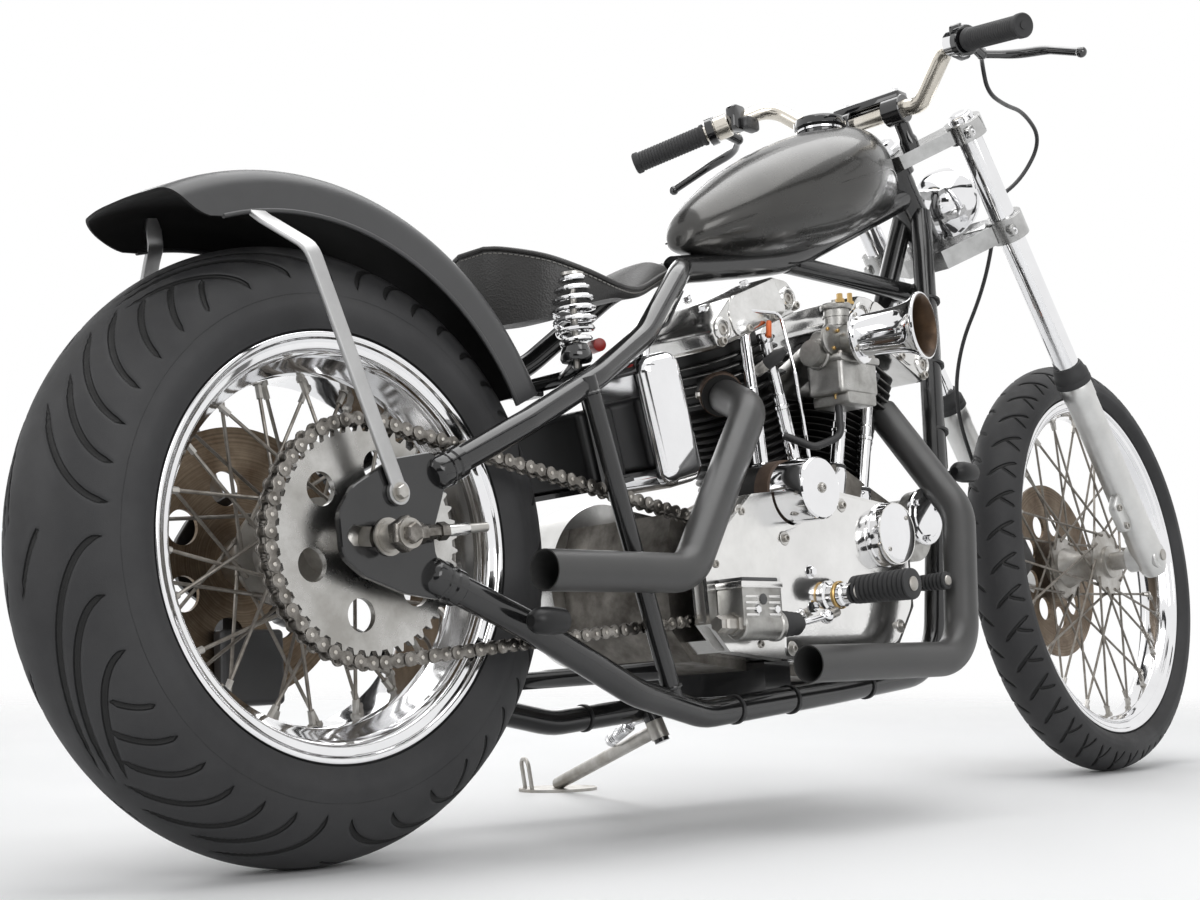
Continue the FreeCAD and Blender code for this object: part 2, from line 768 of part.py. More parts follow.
def cam_cover():
    """Right-hand cover over the cams and the drive sprocket, with a notch round the starter."""
    corners = [(470, 236), (502, 204), (640, 190), (770, 182), (846, 210), (884, 258), (884, 330),
               (846, 392), (690, 408), (560, 392), (514, 354), (466, 312)]
    back = -d.case_half - d.gap
    shape = slab(corners, -d.cover_out, back)
    timing = rod(Vector(832, -d.cover_out - 20, 351), Vector(832, -d.cover_out + 4, 351), 40)
    drive = Vector(d.drive_x, 0, d.drive_z)
    outer = d.chain_y - d.link_half_wide - 6
    room_r = pitch_radius(d.drive_teeth) + d.link_half_high + 6
    chain_room = rod(drive + Y * outer, drive + Y * (back + 5), room_r)
    runs = [(440, 205), (d.drive_x, d.drive_z - room_r), (d.drive_x, d.drive_z + room_r), (440, 405)]
    chain_room = chain_room.fuse(slab(runs, outer, back + 5))
    return shape.fuse(timing).cut(chain_room).cut(starter_room)


def primary_cover():
    """Left-hand cover over the primary drive and the clutch."""
    front = Vector(d.crank_x, 0, d.crank_z)
    rear = Vector(d.drive_x, 0, d.drive_z)
    inner = d.case_half - 14 + d.gap
    outer = inner + 58
    shape = rod(front + Y * inner, front + Y * outer, 86).fuse(rod(rear + Y * inner, rear + Y * outer, 104))
    shape = shape.fuse(slab([(front.x, front.z - 86), (front.x, front.z + 86), (rear.x, rear.z + 104),
                             (rear.x, rear.z - 104)], inner, outer))
    return shape


cam_shape = cam_cover()
primary_shape = primary_cover()
shaped("cam_cover", cam_shape)
shaped("primary_cover", primary_shape)


def engine_mount(x_from, x_to):
    """Cross plate between the lower rails that the crankcase stands on."""
    plate = box(x_from, x_to, -d.rail_half, d.rail_half, 154, 192)
    plate = plate.cut(cam_shape).cut(primary_shape)
    return plate.cut(case_shape).cut(rails["left"]).cut(rails["right"])


shaped("engine_mounts", Part.makeCompound([engine_mount(600, 650), engine_mount(780, 830)]))


def starter():
    """Starter motor across the frame, its chrome end cap outwards, with a clamp band."""
    centre = Vector(d.starter_x, 0, d.starter_z)
    body = rod(centre + Y * -146, centre + Y * -60.3, d.starter_r)
    band = rod(centre + Y * -144, centre + Y * -124, d.starter_r + 2)
    cap = rod(centre + Y * -196, centre + Y * -143, d.starter_r + 2)
    return body.multiFuse([band, cap.makeFillet(4, [cap.Edges[0], cap.Edges[2]])])


def generator():
    """Generator ahead of the case with its oblong end cover."""
    centre = Vector(956, 0, 366)
    body = rod(centre + Y * -112, centre + Y * 84, 43)
    cover = rod(centre + Vector(0, -128, 16), centre + Vector(0, -112, 16), 36)
    return body.fuse(cover)


def pushrod_tubes():
    """Four chrome tubes of two widths, each on its tappet block, up to the heads."""
    tubes = []
    for low_x, low_z, high_x, high_z in ((668, 436, 646, 592), (737, 447, 689, 577), (826, 445, 853, 528),
                                         (879, 416, 918, 550)):
        foot = Vector(low_x, -84, low_z)
        top = Vector(high_x, -86, high_z + 40)
        mid = foot + (top - foot) * 0.45
        low = foot - (top - foot).normalize() * 48
        tubes.append(rod(foot, mid, 9.5).multiFuse([rod(mid, top, 7.5), rod(low, foot, 15)]))
    return tubes


tubes = Part.makeCompound(pushrod_tubes())
starter_shape = starter()
shaped("starter_motor", starter_shape)
shaped("generator", generator())
for neighbour in heads + [rocker_box(1), rocker_box(-1), cylinder(1), cylinder(-1), case_shape, cam_shape,
                          starter_shape]:
    tubes = tubes.cut(neighbour)
shaped("pushrod_tubes", tubes)


def carburettor():
    """Carburettor with its bowl, on a manifold between the cylinders."""
    centre = Vector(776, -140, 600)
    manifold = rod(Vector(810, -20, 572), Vector(776, -112, 600), 20)
    throat = rod(centre + Y * 30, centre - Y * 37, 24)
    bowl = box(centre.x - 40, centre.x + 40, centre.y - 30, centre.y + 26, centre.z - 70, centre.z - 22, 6)
    chamber = rod(centre + Vector(0, 0, -24), centre + Vector(0, 0, 48), 17)
    pump = rod(centre + Vector(-58, 4, -16), centre + Vector(-20, 4, -16), 17)
    arms = rod(Vector(745, -12, 572), Vector(887, -12, 572), 19)
    shape = manifold.multiFuse([throat, bowl, chamber, pump, arms])
    return shape.cut(heads[0]).cut(heads[1]).cut(barrels[1]).cut(barrels[-1])


def velocity_stack():
    """Open trumpet turned a little forward."""
    root = Vector(770, -177.3, 604)
    aim = Vector(math.sin(math.radians(12)), -math.cos(math.radians(12)), 0)
    flange = Part.makeCylinder(36, 5, root, aim)
    outer = Part.makeCone(27, 31, 62, root, aim).fuse(Part.makeCone(31, 43, 28, root + aim * 62, aim))
    inner = Part.makeCone(25, 29, 62, root, aim).fuse(Part.makeCone(29, 41, 28, root + aim * 62, aim))
    return outer.fuse(flange).cut(inner)


carb_shape = carburettor()
shaped("carburettor", carb_shape)
shaped("velocity_stack", velocity_stack().cut(carb_shape))


def exhaust(points, bend):
    """Open drag pipe: the port end is solid to the flange and the tail is open."""
    solid = tube(points, d.pipe_r, bend)
    bore = tube(points, d.pipe_r - d.pipe_wall, bend)
    return solid.cut(bore)


FRONT_PIPE = [Vector(980, -58, 540), Vector(962, -182, 383), Vector(903, -206, 186), Vector(577, -205, 185)]
REAR_PIPE = [Vector(634, -60, 532), Vector(598, -128, 502), Vector(405, -178, 291), Vector(181, -176, 291)]
front_pipe = exhaust(FRONT_PIPE, 70)
rear_pipe = exhaust(REAR_PIPE, 60)
pipes = Part.makeCompound([front_pipe, rear_pipe])
for neighbour in heads + list(barrels.values()):
    pipes = pipes.cut(neighbour)
shaped("exhaust_pipes", pipes)


def tilted_box(x_from, x_to, y_from, y_to, z_from, z_to, degrees, round_r):
    """Rounded block leaned back about its lower rear edge."""
    block = box(x_from, x_to, y_from, y_to, z_from, z_to, round_r)
    block.Placement = about(Vector(x_from, 0, z_from), Y, -degrees) * block.Placement
    return block


oil_lug = rod(Vector(434, -98, 535), Vector(442, -99, 576), 8).cut(stays["right"])
shaped("oil_tank", tilted_box(450, 524, -122, -26, 396, 556, 14, 20).fuse(oil_lug))
shaped("battery_box", tilted_box(362, 425, -80, 80, 400, 488, 14, 8))


def seat():
    """Sprung solo saddle: deep at the tail, thin at the nose, hollowed for the rider."""
    stations = [(262, 22, 680, 588, -2), (272, 46, 676, 587, -8), (300, 84, 664, 592, -16),
                (340, 108, 648, 607, -18), (385, 114, 636, 620, -12), (430, 97, 640, 628, -2),
                (490, 62, 658, 646, 22), (545, 38, 682, 670, 24), (580, 24, 697, 684, 12),
                (594, 10, 701, 692, 4)]
    sections = []
    for x, half, rim_z, low_z, crest in stations:
        shoulder_y = half * 0.55
        shoulder_z = rim_z + crest * 0.75
        around = [(-half, rim_z), (-half * 0.92, low_z), (half * 0.92, low_z), (half, rim_z),
                  (shoulder_y, shoulder_z), (0, rim_z + crest), (-shoulder_y, shoulder_z)]
        corners = [Vector(x, y, z) for y, z in around]
        sections.append(Part.makePolygon(corners + corners[:1]))
    return Part.makeLoft(sections, True, True).cut(stays["left"]).cut(stays["right"])


def spring(x, y):
    """Seat spring as its outer round, with its cup below."""
    foot = Vector(x, y, 530 + d.post_r - 2 + d.gap)
    barrel = Part.makeCone(15, 26, 40, foot + Z * 18, Z).fuse(Part.makeCone(26, 15, 46, foot + Z * 58, Z))
    return rod(foot, foot + Z * 20, 12).fuse(barrel).cut(seat_shape)


seat_shape = seat()
shaped("seat", seat_shape)
shaped("seat_springs", both_sides(spring(344, 80)))


def tank():
    """Peanut fuel tank: narrow and low at the tail, full at the shoulders, over the backbone."""
    stations = [(634, 6, 751, 745), (646, 17, 766, 742), (690, 42, 808, 738), (760, 81, 865, 745),
                (850, 104, 920, 762), (940, 110, 959, 787), (1030, 76, 977, 826), (1090, 43, 940, 854),
                (1122, 16, 895, 871)]
    rings = [oval(Vector(x, 0, (top + low) / 2), wide, (top - low) / 2) for x, wide, top, low in stations]
    room = d.backbone_r + d.gap
    route = spine_points(60, 60)
    tunnel = tube(route, room, 400)
    under = [(p.x, p.z) for p in route] + [(route[-1].x, 600), (route[0].x, 600)]
    tunnel = tunnel.fuse(slab(under, -room, room))
    return loft(rings).cut(tunnel).cut(stays["left"]).cut(stays["right"])


tank_shape = tank()
shaped("fuel_tank", tank_shape)


def fuel_cap():
    """Round filler cap on the top of the tank: a wide lid over a narrower neck."""
    centre = Vector(966, 0, 960)
    lid = rod(centre + Z * 8, centre + Z * 22, 38)
    return lid.makeFillet(4, lid.Edges).fuse(rod(centre - Z * 20, centre + Z * 10, 34)).cut(tank_shape)


shaped("fuel_cap", fuel_cap())


# Rear mudguard
inner_r = "(fender_corner - fender_thick)"
top_r = "fender_r - 5"
shoulder = "(fender_half - fender_corner)"
lip_r = "fender_r - fender_drop"
bend_r = "fender_r - 5 - fender_corner"
fender_points = [
    ("-fender_half", lip_r),
    ("-fender_half", bend_r, "-fender_corner"),
    (f"-{shoulder}", top_r, f"-({shoulder} ^ 2 + 25) / 10"),
    (shoulder, top_r, "-fender_corner"),
    ("fender_half", bend_r),
    ("fender_half", lip_r),
    ("fender_half - fender_thick", lip_r),
    ("fender_half - fender_thick", bend_r, inner_r),
    (shoulder, f"{top_r} - fender_thick", f"({shoulder} ^ 2 + 25) / 10"),
    (f"-{shoulder}", f"{top_r} - fender_thick", inner_r),
    ("-(fender_half - fender_thick)", bend_r),
    ("-(fender_half - fender_thick)", lip_r),
]
FENDER = Placement(FENDER_CENTRE, Rotation(Y, 90 - d.fender_rear))
fender = turned("rear_fender", fender_points, FENDER, d.fender_rear - d.fender_front)
tail_points = [("-5", "-(fender_half + 5)"), ("fender_round", "-(fender_half + 5)")]
for share in (-1, -0.9, -0.75, -0.55, -0.3, 0, 0.3, 0.55, 0.75, 0.9, 1):
    tail_points.append((f"fender_round * {abs(share) ** 2.5:.4f}", f"{share} * fender_half"))
tail_points += [("fender_round", "fender_half + 5"), ("-5", "fender_half + 5")]
tail_cut = fender.newObject("PartDesign::Pocket", "rear_fender_tail")
tail_cut.Profile = outline_sketch(fender, "XY_Plane", tail_points)
tail_cut.Type = "ThroughAll"
tail_cut.Reversed = True
doc.recompute()
fender_shape = fender.Shape.copy()
fender_shape.Placement = FENDER


def fender_point(degrees, depth):
    """Point of the mudguard's side view at an angle, a depth inside its crown."""
    angle = math.radians(degrees)
    return FENDER_CENTRE + Vector(math.cos(angle), 0, math.sin(angle)) * (d.fender_r - depth)


def fender_strut(side):
    """Flat bar from the axle plate up beside the tyre, bent in to the mudguard's lip."""
    inner = d.plate_y + d.plate_thick / 2 + d.gap
    outer = inner + 6
    low, high = sorted((side * inner, side * outer))
    tops = [(at.x, at.z) for at in (fender_point(98, 80.6), fender_point(103.8, 85.5))]
    blade = slab([(2, 362), (24, 371)] + tops, low, high)
    foot = rod(Vector(13, side * inner, 367), Vector(13, side * outer, 367), 13)
    lip = d.fender_half + d.gap
    back = fender_point(103.8, 85.5)
    fore = fender_point(98, 80.6)
    high_back = fender_point(105, 40.4)
    high_fore = fender_point(100.2, 37.3)
    below = [(back, inner), (fore, inner), (fore, outer), (back, outer)]
    above = [(high_back, lip), (high_fore, lip), (high_fore + Z * 6, lip + 5), (high_back + Z * 6, lip + 5)]
    ends = [Part.makePolygon([Vector(at.x, side * y, at.z) for at, y in ring + ring[:1]])
            for ring in (below, above)]
    bend = Part.makeLoft(ends, True, True)
    return blade.multiFuse([foot, bend])


shaped("fender_struts", both_sides(fender_strut(1).cut(fender_shape)))


# Controls and small pieces on the frame
def peg(x, side, z, inner, outer):
    """Ribbed foot peg."""
    return rod(Vector(x, side * inner, z), Vector(x, side * outer, z), 15)


def foot_controls():
    """Foot pegs on both sides and the brake pedal's pad on the right."""
    shaft = rod(Vector(700, -d.cover_out - d.gap, 270), Vector(700, -186, 270), 15)
    right = shaft.fuse(rod(Vector(700, -178, 270), Vector(722, -178, 276), 10))
    right = right.fuse(peg(722, -1, 276, 174, 262))
    arm = rod(Vector(700, -168, 270), Vector(894, -160, 288), 6)
    pad = rod(Vector(894, -150, 288), Vector(894, -200, 288), 12)
    left = rod(Vector(722, 137, 276), Vector(722, 170, 276), 12).fuse(peg(722, 1, 276, 160, 252))
    return [right.multiFuse([arm, pad]), left]


shaped("foot_controls", Part.makeCompound(foot_controls()))


def master_cylinder():
    """Finned rear brake master cylinder on the cam cover, its bellows towards the pedal."""
    face = -d.cover_out - d.gap
    body = box(484, 556, face - 40, face, 214, 288, 4)
    axis_z = 234
    middle = face - 24
    boot = rod(Vector(554, middle, axis_z), Vector(606, middle, axis_z), 17)
    push = rod(Vector(600, middle, axis_z), Vector(664, middle, 244), 7)
    fitting = rod(Vector(452, middle, axis_z), Vector(486, middle, axis_z), 11)
    link = rod(Vector(664, middle, 244), Vector(682, middle, 249), 7)
    return body.multiFuse([boot, push, fitting, link])


shaped("brake_master", master_cylinder())


def rear_caliper():
    """Caliper below the left axle plate, with its bracket."""
    y = d.rear_disc_y
    clear = rod(Vector(0, y - d.disc_thick / 2 - 4, d.rear_axle_z),
                Vector(0, y + d.disc_thick / 2 + 4, d.rear_axle_z), d.disc_r + 5)
    block = box(-40, 40, y - 22, y + 27, 170, 250, 6)
    bracket = box(-14, 14, y + 14, d.plate_y - d.plate_thick / 2 - d.gap, 236, 300)
    return block.fuse(bracket).cut(clear)


shaped("rear_caliper", rear_caliper())


def indicator(x, y, z, side):
    """Short stalk and a rounded lamp."""
    stalk = rod(Vector(x, y, z), Vector(x, y + side * 40, z), 5)
    shell = Part.makeCylinder(15, 46, Vector(x - 23, y + side * 42, z), X)
    shape = stalk.fuse(shell)
    return shape.cut(rails["left"]).cut(rails["right"])


lamps = [indicator(1064, side * 90, 452, side) for side in (1, -1)]
lamps += [indicator(176, side * d.plate_y, 238, side) for side in (1, -1)]
shaped("indicators", Part.makeCompound(lamps))


# Fork, in the fork frame
def slab_flat(z, thick):
    """Plate across the fork at a height along the legs."""
    back = -d.fork_offset
    plan = [(-28, d.fork_half - 10), (20, d.fork_half - 20), (-22, 40), (-22, -40), (20, -d.fork_half + 20),
            (-28, -d.fork_half + 10), (back - 26, -34), (back - 26, 34)]
    corners = [Vector(x, y, z - thick / 2) for x, y in plan]
    shape = Part.Face(Part.makePolygon(corners + corners[:1])).extrude(Z * thick)
    for side in (1, -1):
        centre = Vector(0, side * d.fork_half, z - thick / 2 - 4)
        shape = shape.fuse(Part.makeCylinder(d.fork_tube_r + 9, thick + 8, centre, Z))
    hole = d.fork_tube_r + d.gap
    for side in (1, -1):
        centre = Vector(0, side * d.fork_half, z - thick)
        shape = shape.cut(Part.makeCylinder(hole, 2 * thick, centre, Z))
    return shape


def triple_trees():
    """Both trees and the steering stem between them."""
    stem = Part.makeCylinder(13, d.upper_tree - d.lower_tree, Vector(-d.fork_offset, 0, d.lower_tree), Z)
    return slab_flat(d.lower_tree, d.tree_thick).multiFuse([slab_flat(d.upper_tree, d.tree_thick - 8), stem])


trees = triple_trees()
shaped("triple_trees", trees, STEER * FORK)


def fork_leg(side):
    """Chrome fork tube from inside the slider to above the upper tree."""
    foot = Vector(0, side * d.fork_half, d.slider_top - 60)
    return Part.makeCylinder(d.fork_tube_r, d.upper_tree + 24 - foot.z, foot, Z)


def slider(side):
    """Cast fork slider: bored for its tube, with the axle boss at its foot."""
    foot = Vector(0, side * d.fork_half, -32)
    body = Part.makeCylinder(d.slider_r, d.slider_top - foot.z, foot, Z)
    boss = rod(Vector(0, side * (d.fork_half - 34), 0), Vector(0, side * (d.fork_half + 20), 0), 22)
    bore = Part.makeCylinder(d.fork_tube_r + d.gap, 400, Vector(0, foot.y, d.slider_top - 61), Z)
    axle_hole = rod(Vector(0, side * 40, 0), Vector(0, side * 200, 0), d.axle_r + d.gap)
    return body.fuse(boss).cut(bore).cut(axle_hole)


def boot(side):
    """Black dust seal on top of a slider."""
    foot = Vector(0, side * d.fork_half, d.slider_top + d.gap)
    seal = Part.makeCone(d.slider_r + 3, d.fork_tube_r + 4, 34, foot, Z)
    return seal.cut(Part.makeCylinder(d.fork_tube_r + d.gap, 60, foot - Z * 5, Z))


shaped("fork_tubes", Part.makeCompound([fork_leg(1), fork_leg(-1)]), STEER * FORK)
legs = Part.makeCompound([slider(1), slider(-1)])
shaped("fork_sliders", legs, STEER * FORK)
shaped("dust_seals", Part.makeCompound([boot(1), boot(-1)]), STEER * FORK)


def front_axle():
    """Front axle with spacers and nuts."""
    end = d.fork_half + 26
    shape = rod(Y * -end, Y * end, d.axle_r)
    inner = d.fork_half - 34 - d.gap
    for start, stop in ((-inner, -d.hub_half - 12 - d.gap), (d.front_disc_y + 6 + d.gap, inner)):
        shape = shape.fuse(rod(Y * start, Y * stop, 15))
    return shape


shaped("front_axle", front_axle(), STEER * FORK)


# Handlebar, in the bike frame before it is steered
def bar_points(side):
    """Handlebar of one side, from the middle to the grip end."""
    return [Vector(BAR_X, side * 60, d.bar_z), Vector(BAR_X, side * 86, d.bar_z - 4),
            Vector(BAR_X - 30, side * 160, 1073), Vector(BAR_X - 96, side * 209, 1041),
            Vector(BAR_X - 153, side * d.bar_half, 1008)]


def handlebar(radius):
    """One tube bent back at both sides."""
    path = list(reversed(bar_points(1))) + bar_points(-1)
    return tube(path, radius, 42)


def grip(side):
    """Rubber grip over the end of the bar."""
    end = bar_points(side)[-1]
    inward = (bar_points(side)[-2] - end).normalize()
    shape = rod(end - inward * 6, end + inward * d.grip_long, d.grip_r)
    return shape.cut(rod(end - d.gap * inward, end + inward * 300, d.bar_r + d.gap))


def lever(side):
    """Hand lever with its perch clamped round the bar."""
    end = bar_points(side)[-1]
    inward = (bar_points(side)[-2] - end).normalize()
    seat_at = end + inward * (d.grip_long + 6)
    perch = rod(seat_at - inward * 2, seat_at + inward * 11, d.bar_r + 9)
    knuckle = Vector(BAR_X - 44, side * 218, 1034)
    arm = rod(seat_at + inward * 8 + Vector(d.bar_r + 4, 0, 0), knuckle, 8)
    tip = Vector(BAR_X - 34, side * (d.bar_half + 26), 992)
    middle = [Vector(BAR_X - 10, side * 252, 1031), Vector(BAR_X - 10, side * 300, 1022)]
    blade = tube([knuckle] + middle + [tip], 6, 60)
    lever_shape = perch.multiFuse([arm, blade, Part.makeSphere(8, knuckle), Part.makeSphere(8, tip)])
    return lever_shape.cut(handlebar(d.bar_r + d.gap))


def riser(side):
    """Dog-bone riser from the upper tree to the bar, with half of the cap that ties both."""
    foot = stem_point(d.upper_tree) + Vector(0, side * 44, 0)
    top = Vector(BAR_X, side * 44, d.bar_z)
    post = rod(foot, top, 11).fuse(rod(foot, foot + (top - foot) * 0.4, 14))
    clamp = rod(top - Y * 16, top + Y * 16, d.bar_r + 9)
    bridge = box(top.x - 13, top.x + 13, min(0, side * 58), max(0, side * 58), top.z + 14, top.z + 27)
    shape = post.multiFuse([clamp, bridge]).cut(rod(top - Y * 80, top + Y * 80, d.bar_r + d.gap))
    held = trees.copy()
    held.Placement = FORK
    return shape.cut(held)


shaped("handlebar", handlebar(d.bar_r), STEER)
shaped("grips", Part.makeCompound([grip(1), grip(-1)]), STEER)
shaped("hand_levers", Part.makeCompound([lever(1), lever(-1)]), STEER)
shaped("risers", riser(1).fuse(riser(-1)), STEER)


def brake_hose():
    """Brake hose from the right-hand lever, looped ahead of the bar and down to the left caliper."""
    route = [(-37.2, -213.4, 1035.7), (4, -192, 1040), (18, -188, 1000), (100, -172, 1004),
             (200, -152, 1022), (285, -135, 1000), (272, -100, 942), (225, -72, 905), (222, -62, 840),
             (245, -20, 770), (280, 50, 700), (298, 82, 610), (340, 80, 500), (360, 72, 440),
             (361, 70, 412)]
    return tube([Vector(BAR_X + x, y, z) for x, y, z in route], d.hose_r, 30)


shaped("brake_hose", brake_hose(), STEER)


def headlamp():
    """Small round headlamp between the fork legs, on a bracket from the lower tree."""
    ahead = Vector(math.cos(RAKE), 0, -math.sin(RAKE))
    back = Vector(12, 0, d.lower_tree + 78)
    bowl = Part.makeCone(26, 54, 48, back, ahead).fuse(Part.makeCylinder(56, 22, back + ahead * 48, ahead))
    knee = Vector(24, 0, d.lower_tree)
    bracket = [rod(Vector(-30, 0, d.lower_tree), knee, 8), Part.makeSphere(8, knee),
               rod(knee, back + ahead * 30, 8)]
    return bowl.multiFuse(bracket).cut(trees)


shaped("headlamp", headlamp(), STEER * FORK)


def front_caliper():
    """Caliper on the left slider, astride the disc."""
    y = d.front_disc_y
    clear = rod(Y * (y - d.disc_thick / 2 - 4), Y * (y + d.disc_thick / 2 + 4), d.disc_r + 5)
    block = box(-130, -70, y - 22, y + 22, 60, 150, 6)
    bracket = box(-100, -18, y + 12, d.fork_half - 12, 86, 124)
    return block.fuse(bracket).cut(clear).cut(legs)


shaped("front_caliper", front_caliper(), STEER * FORK)


# Side stand, modelled as it stands on the ground
def side_stand():
    """Round leg on a bored barrel, with a flat oval foot and an upturned tang to kick it down."""
    sole = 4.0
    ankle = STAND_FOOT + Z * (sole + d.stand_r * 0.6)
    leg = rod(STAND_PIVOT, ankle, d.stand_r)
    barrel = rod(STAND_PIVOT - STAND_AXIS * 12, STAND_PIVOT + STAND_AXIS * 12, 12)
    long_way = Vector(0.94, -0.34, 0).normalize()
    wide_way = Z.cross(long_way)
    oval_edge = Part.Ellipse(STAND_FOOT + long_way * 60, STAND_FOOT + wide_way * 34, STAND_FOOT)
    pad = Part.Face(Part.Wire(oval_edge.toShape())).extrude(Z * sole)
    near = STAND_FOOT - long_way * 46 + Z * 2
    tang = tube([near - wide_way * 12, near - wide_way * 12 - long_way * 8 + Z * 44,
                 near + wide_way * 12 - long_way * 8 + Z * 44, near + wide_way * 12], 3, 11)
    tang = tang.cut(Part.makeBox(400, 400, 50, STAND_FOOT - Vector(200, 200, 50)))
    bore = rod(STAND_PIVOT - STAND_AXIS * 20, STAND_PIVOT + STAND_AXIS * 20, 6 + d.gap)
    return leg.multiFuse([pad, barrel, tang]).cut(bore)


stand = doc.addObject("Part::Feature", "side_stand")
stand.Shape = side_stand()
stand.Label = "side_stand"
stand.Placement = Placement()
pieces.append(stand)

# Origin at the bottom centre of the whole motorcycle
doc.recompute()
whole = FreeCAD.BoundBox()
for piece in pieces:
    whole.add(piece.Shape.optimalBoundingBox(False))
ORIGIN = Vector(whole.Center.x, whole.Center.y, 0)
for piece in pieces:
    piece.Placement = Placement(-ORIGIN, Rotation()) * piece.Placement
doc.recompute()

failed = [item.Label for item in doc.Objects if {"Invalid", "Error"} & set(item.State)]
failed += [piece.Label for piece in pieces if piece.Shape.isNull() or not piece.Shape.isValid()]
if failed:
    raise ValueError(f"These did not come out: {failed}")
os.makedirs("parts", exist_ok=True)
for piece in pieces:
    piece.Shape.exportStep(f"parts/{piece.Label}.step")
print(f"{len(pieces)} pieces, box {whole}")
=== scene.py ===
"""Looks of a rigid-frame chopper motorcycle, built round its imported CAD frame."""
import math

import bmesh
import bpy
import numpy as np
from mathutils import Matrix, Vector
from mathutils.geometry import tessellate_polygon


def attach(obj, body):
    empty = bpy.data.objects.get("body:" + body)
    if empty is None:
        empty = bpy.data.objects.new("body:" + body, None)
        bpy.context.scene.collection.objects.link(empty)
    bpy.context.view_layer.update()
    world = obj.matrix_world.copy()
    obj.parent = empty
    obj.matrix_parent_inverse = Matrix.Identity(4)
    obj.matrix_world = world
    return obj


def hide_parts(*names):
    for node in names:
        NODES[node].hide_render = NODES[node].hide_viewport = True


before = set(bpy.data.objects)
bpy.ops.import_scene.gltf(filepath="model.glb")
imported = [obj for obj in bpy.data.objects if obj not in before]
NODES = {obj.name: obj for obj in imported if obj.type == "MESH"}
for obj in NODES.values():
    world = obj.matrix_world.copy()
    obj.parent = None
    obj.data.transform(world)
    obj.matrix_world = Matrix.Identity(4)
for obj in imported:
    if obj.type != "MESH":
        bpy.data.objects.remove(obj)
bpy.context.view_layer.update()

# Frames, in millimetres until a mesh is made


def turn(axis, degrees):
    """4x4 turn about an axis through the origin: Rodrigues' formula."""
    k = np.asarray(axis, float) / np.linalg.norm(axis)
    a = math.radians(degrees)
    K = np.array([[0, -k[2], k[1]], [k[2], 0, -k[0]], [-k[1], k[0], 0]])
    M = np.eye(4)
    M[:3, :3] = np.eye(3) + math.sin(a) * K + (1 - math.cos(a)) * K @ K
    return M


def shift(x, y, z):
    """4x4 move."""
    M = np.eye(4)
    M[:3, 3] = (x, y, z)
    return M


X, Y, Z = np.eye(3)
WHEELBASE, RAKE, OFFSET, LEAN, STEERED = 1626.7, 35.0, 51.2, 5.0, 3.44
REAR_Z, FRONT_Z = 323.0, 342.0
AHEAD = np.array([math.cos(math.radians(RAKE)), 0, math.sin(math.radians(RAKE))])
UP_FORK = np.array([-AHEAD[2], 0, AHEAD[0]])
FRONT_AXLE = np.array([WHEELBASE, 0, FRONT_Z])
STEER_POINT = FRONT_AXLE - AHEAD * OFFSET
BIKE = shift(-823.1069, -84.3532, -3.6804) @ turn(X, -LEAN) @ turn(Y, -0.0049)
BAR = BIKE @ shift(*STEER_POINT) @ turn(UP_FORK, STEERED) @ shift(*-STEER_POINT)
FORK = BAR @ shift(*FRONT_AXLE) @ turn(Y, -RAKE)
REAR = BIKE @ shift(0, 0, REAR_Z)
FLOOR = shift(-823.1072, -56.2019, 0)


def carried(points, M):
    """Points in millimetres of a local frame, as metres of the row frame."""
    return (np.asarray(points, float) @ M[:3, :3].T + M[:3, 3]) * 0.001


# Camera


def added(name, data):
    """A scene object of a mesh, curve, lamp or camera."""
    thing = bpy.data.objects.new(name, data)
    bpy.context.scene.collection.objects.link(thing)
    return thing


camera = bpy.data.cameras.new("camera")
camera.sensor_width = 36.0
camera.lens = 54.54
eye = added("camera", camera)
look = Vector((0.7175344, 0.6912801, 0.0853006))
side = Vector((0.6934244, -0.7205042, 0.0060303))
eye.matrix_world = Matrix.Translation((-1.96004, -1.58237, 0.265)) @ Matrix(
    (side, side.cross(look), -look)).transposed().to_4x4()
bpy.context.scene.camera = eye
bpy.context.scene.view_settings.view_transform = "Standard"


# Shapes: every one is a pair of points and faces worked out from a grid


def unit(v):
    """Vector of length one."""
    v = np.asarray(v, float)
    return v / np.linalg.norm(v)


def woven(P, loop_u=False, loop_v=True):
    """Quads between neighbours of a grid P[u, v]; either way may close on itself."""
    nu, nv = P.shape[:2]
    i = np.arange(nu * nv).reshape(nu, nv)
    if loop_u:
        i = np.vstack([i, i[:1]])
    if loop_v:
        i = np.hstack([i, i[:, :1]])
    quads = np.stack([i[:-1, :-1], i[1:, :-1], i[1:, 1:], i[:-1, 1:]], -1).reshape(-1, 4)
    return P.reshape(-1, 3), quads


def capped(P):
    """Closed body from rows P[u, v] that close round v, with a flat face at each end."""
    V, Q = woven(P)
    n = P.shape[1]
    return V, Q.tolist() + [list(range(n)), list(range(len(V) - n, len(V)))]


def across(k):
    """Two directions square to k and to each other."""
    k = unit(k)
    e = unit(np.cross(k, Y if abs(k[1]) < 0.8 else X))
    return e, np.cross(k, e)


def lathe(profile, start, axis, n=40):
    """Round body: each profile point (s, r) becomes the ring start + s k + r (cos a e1 + sin a e2)."""
    s, r = np.asarray(profile, float).T
    k = unit(axis)
    e1, e2 = across(k)
    a = np.linspace(0, 2 * np.pi, n, endpoint=False)
    ring = np.cos(a)[:, None] * e1 + np.sin(a)[:, None] * e2
    P = np.asarray(start, float) + s[:, None, None] * k + r[:, None, None] * ring
    return woven(P)


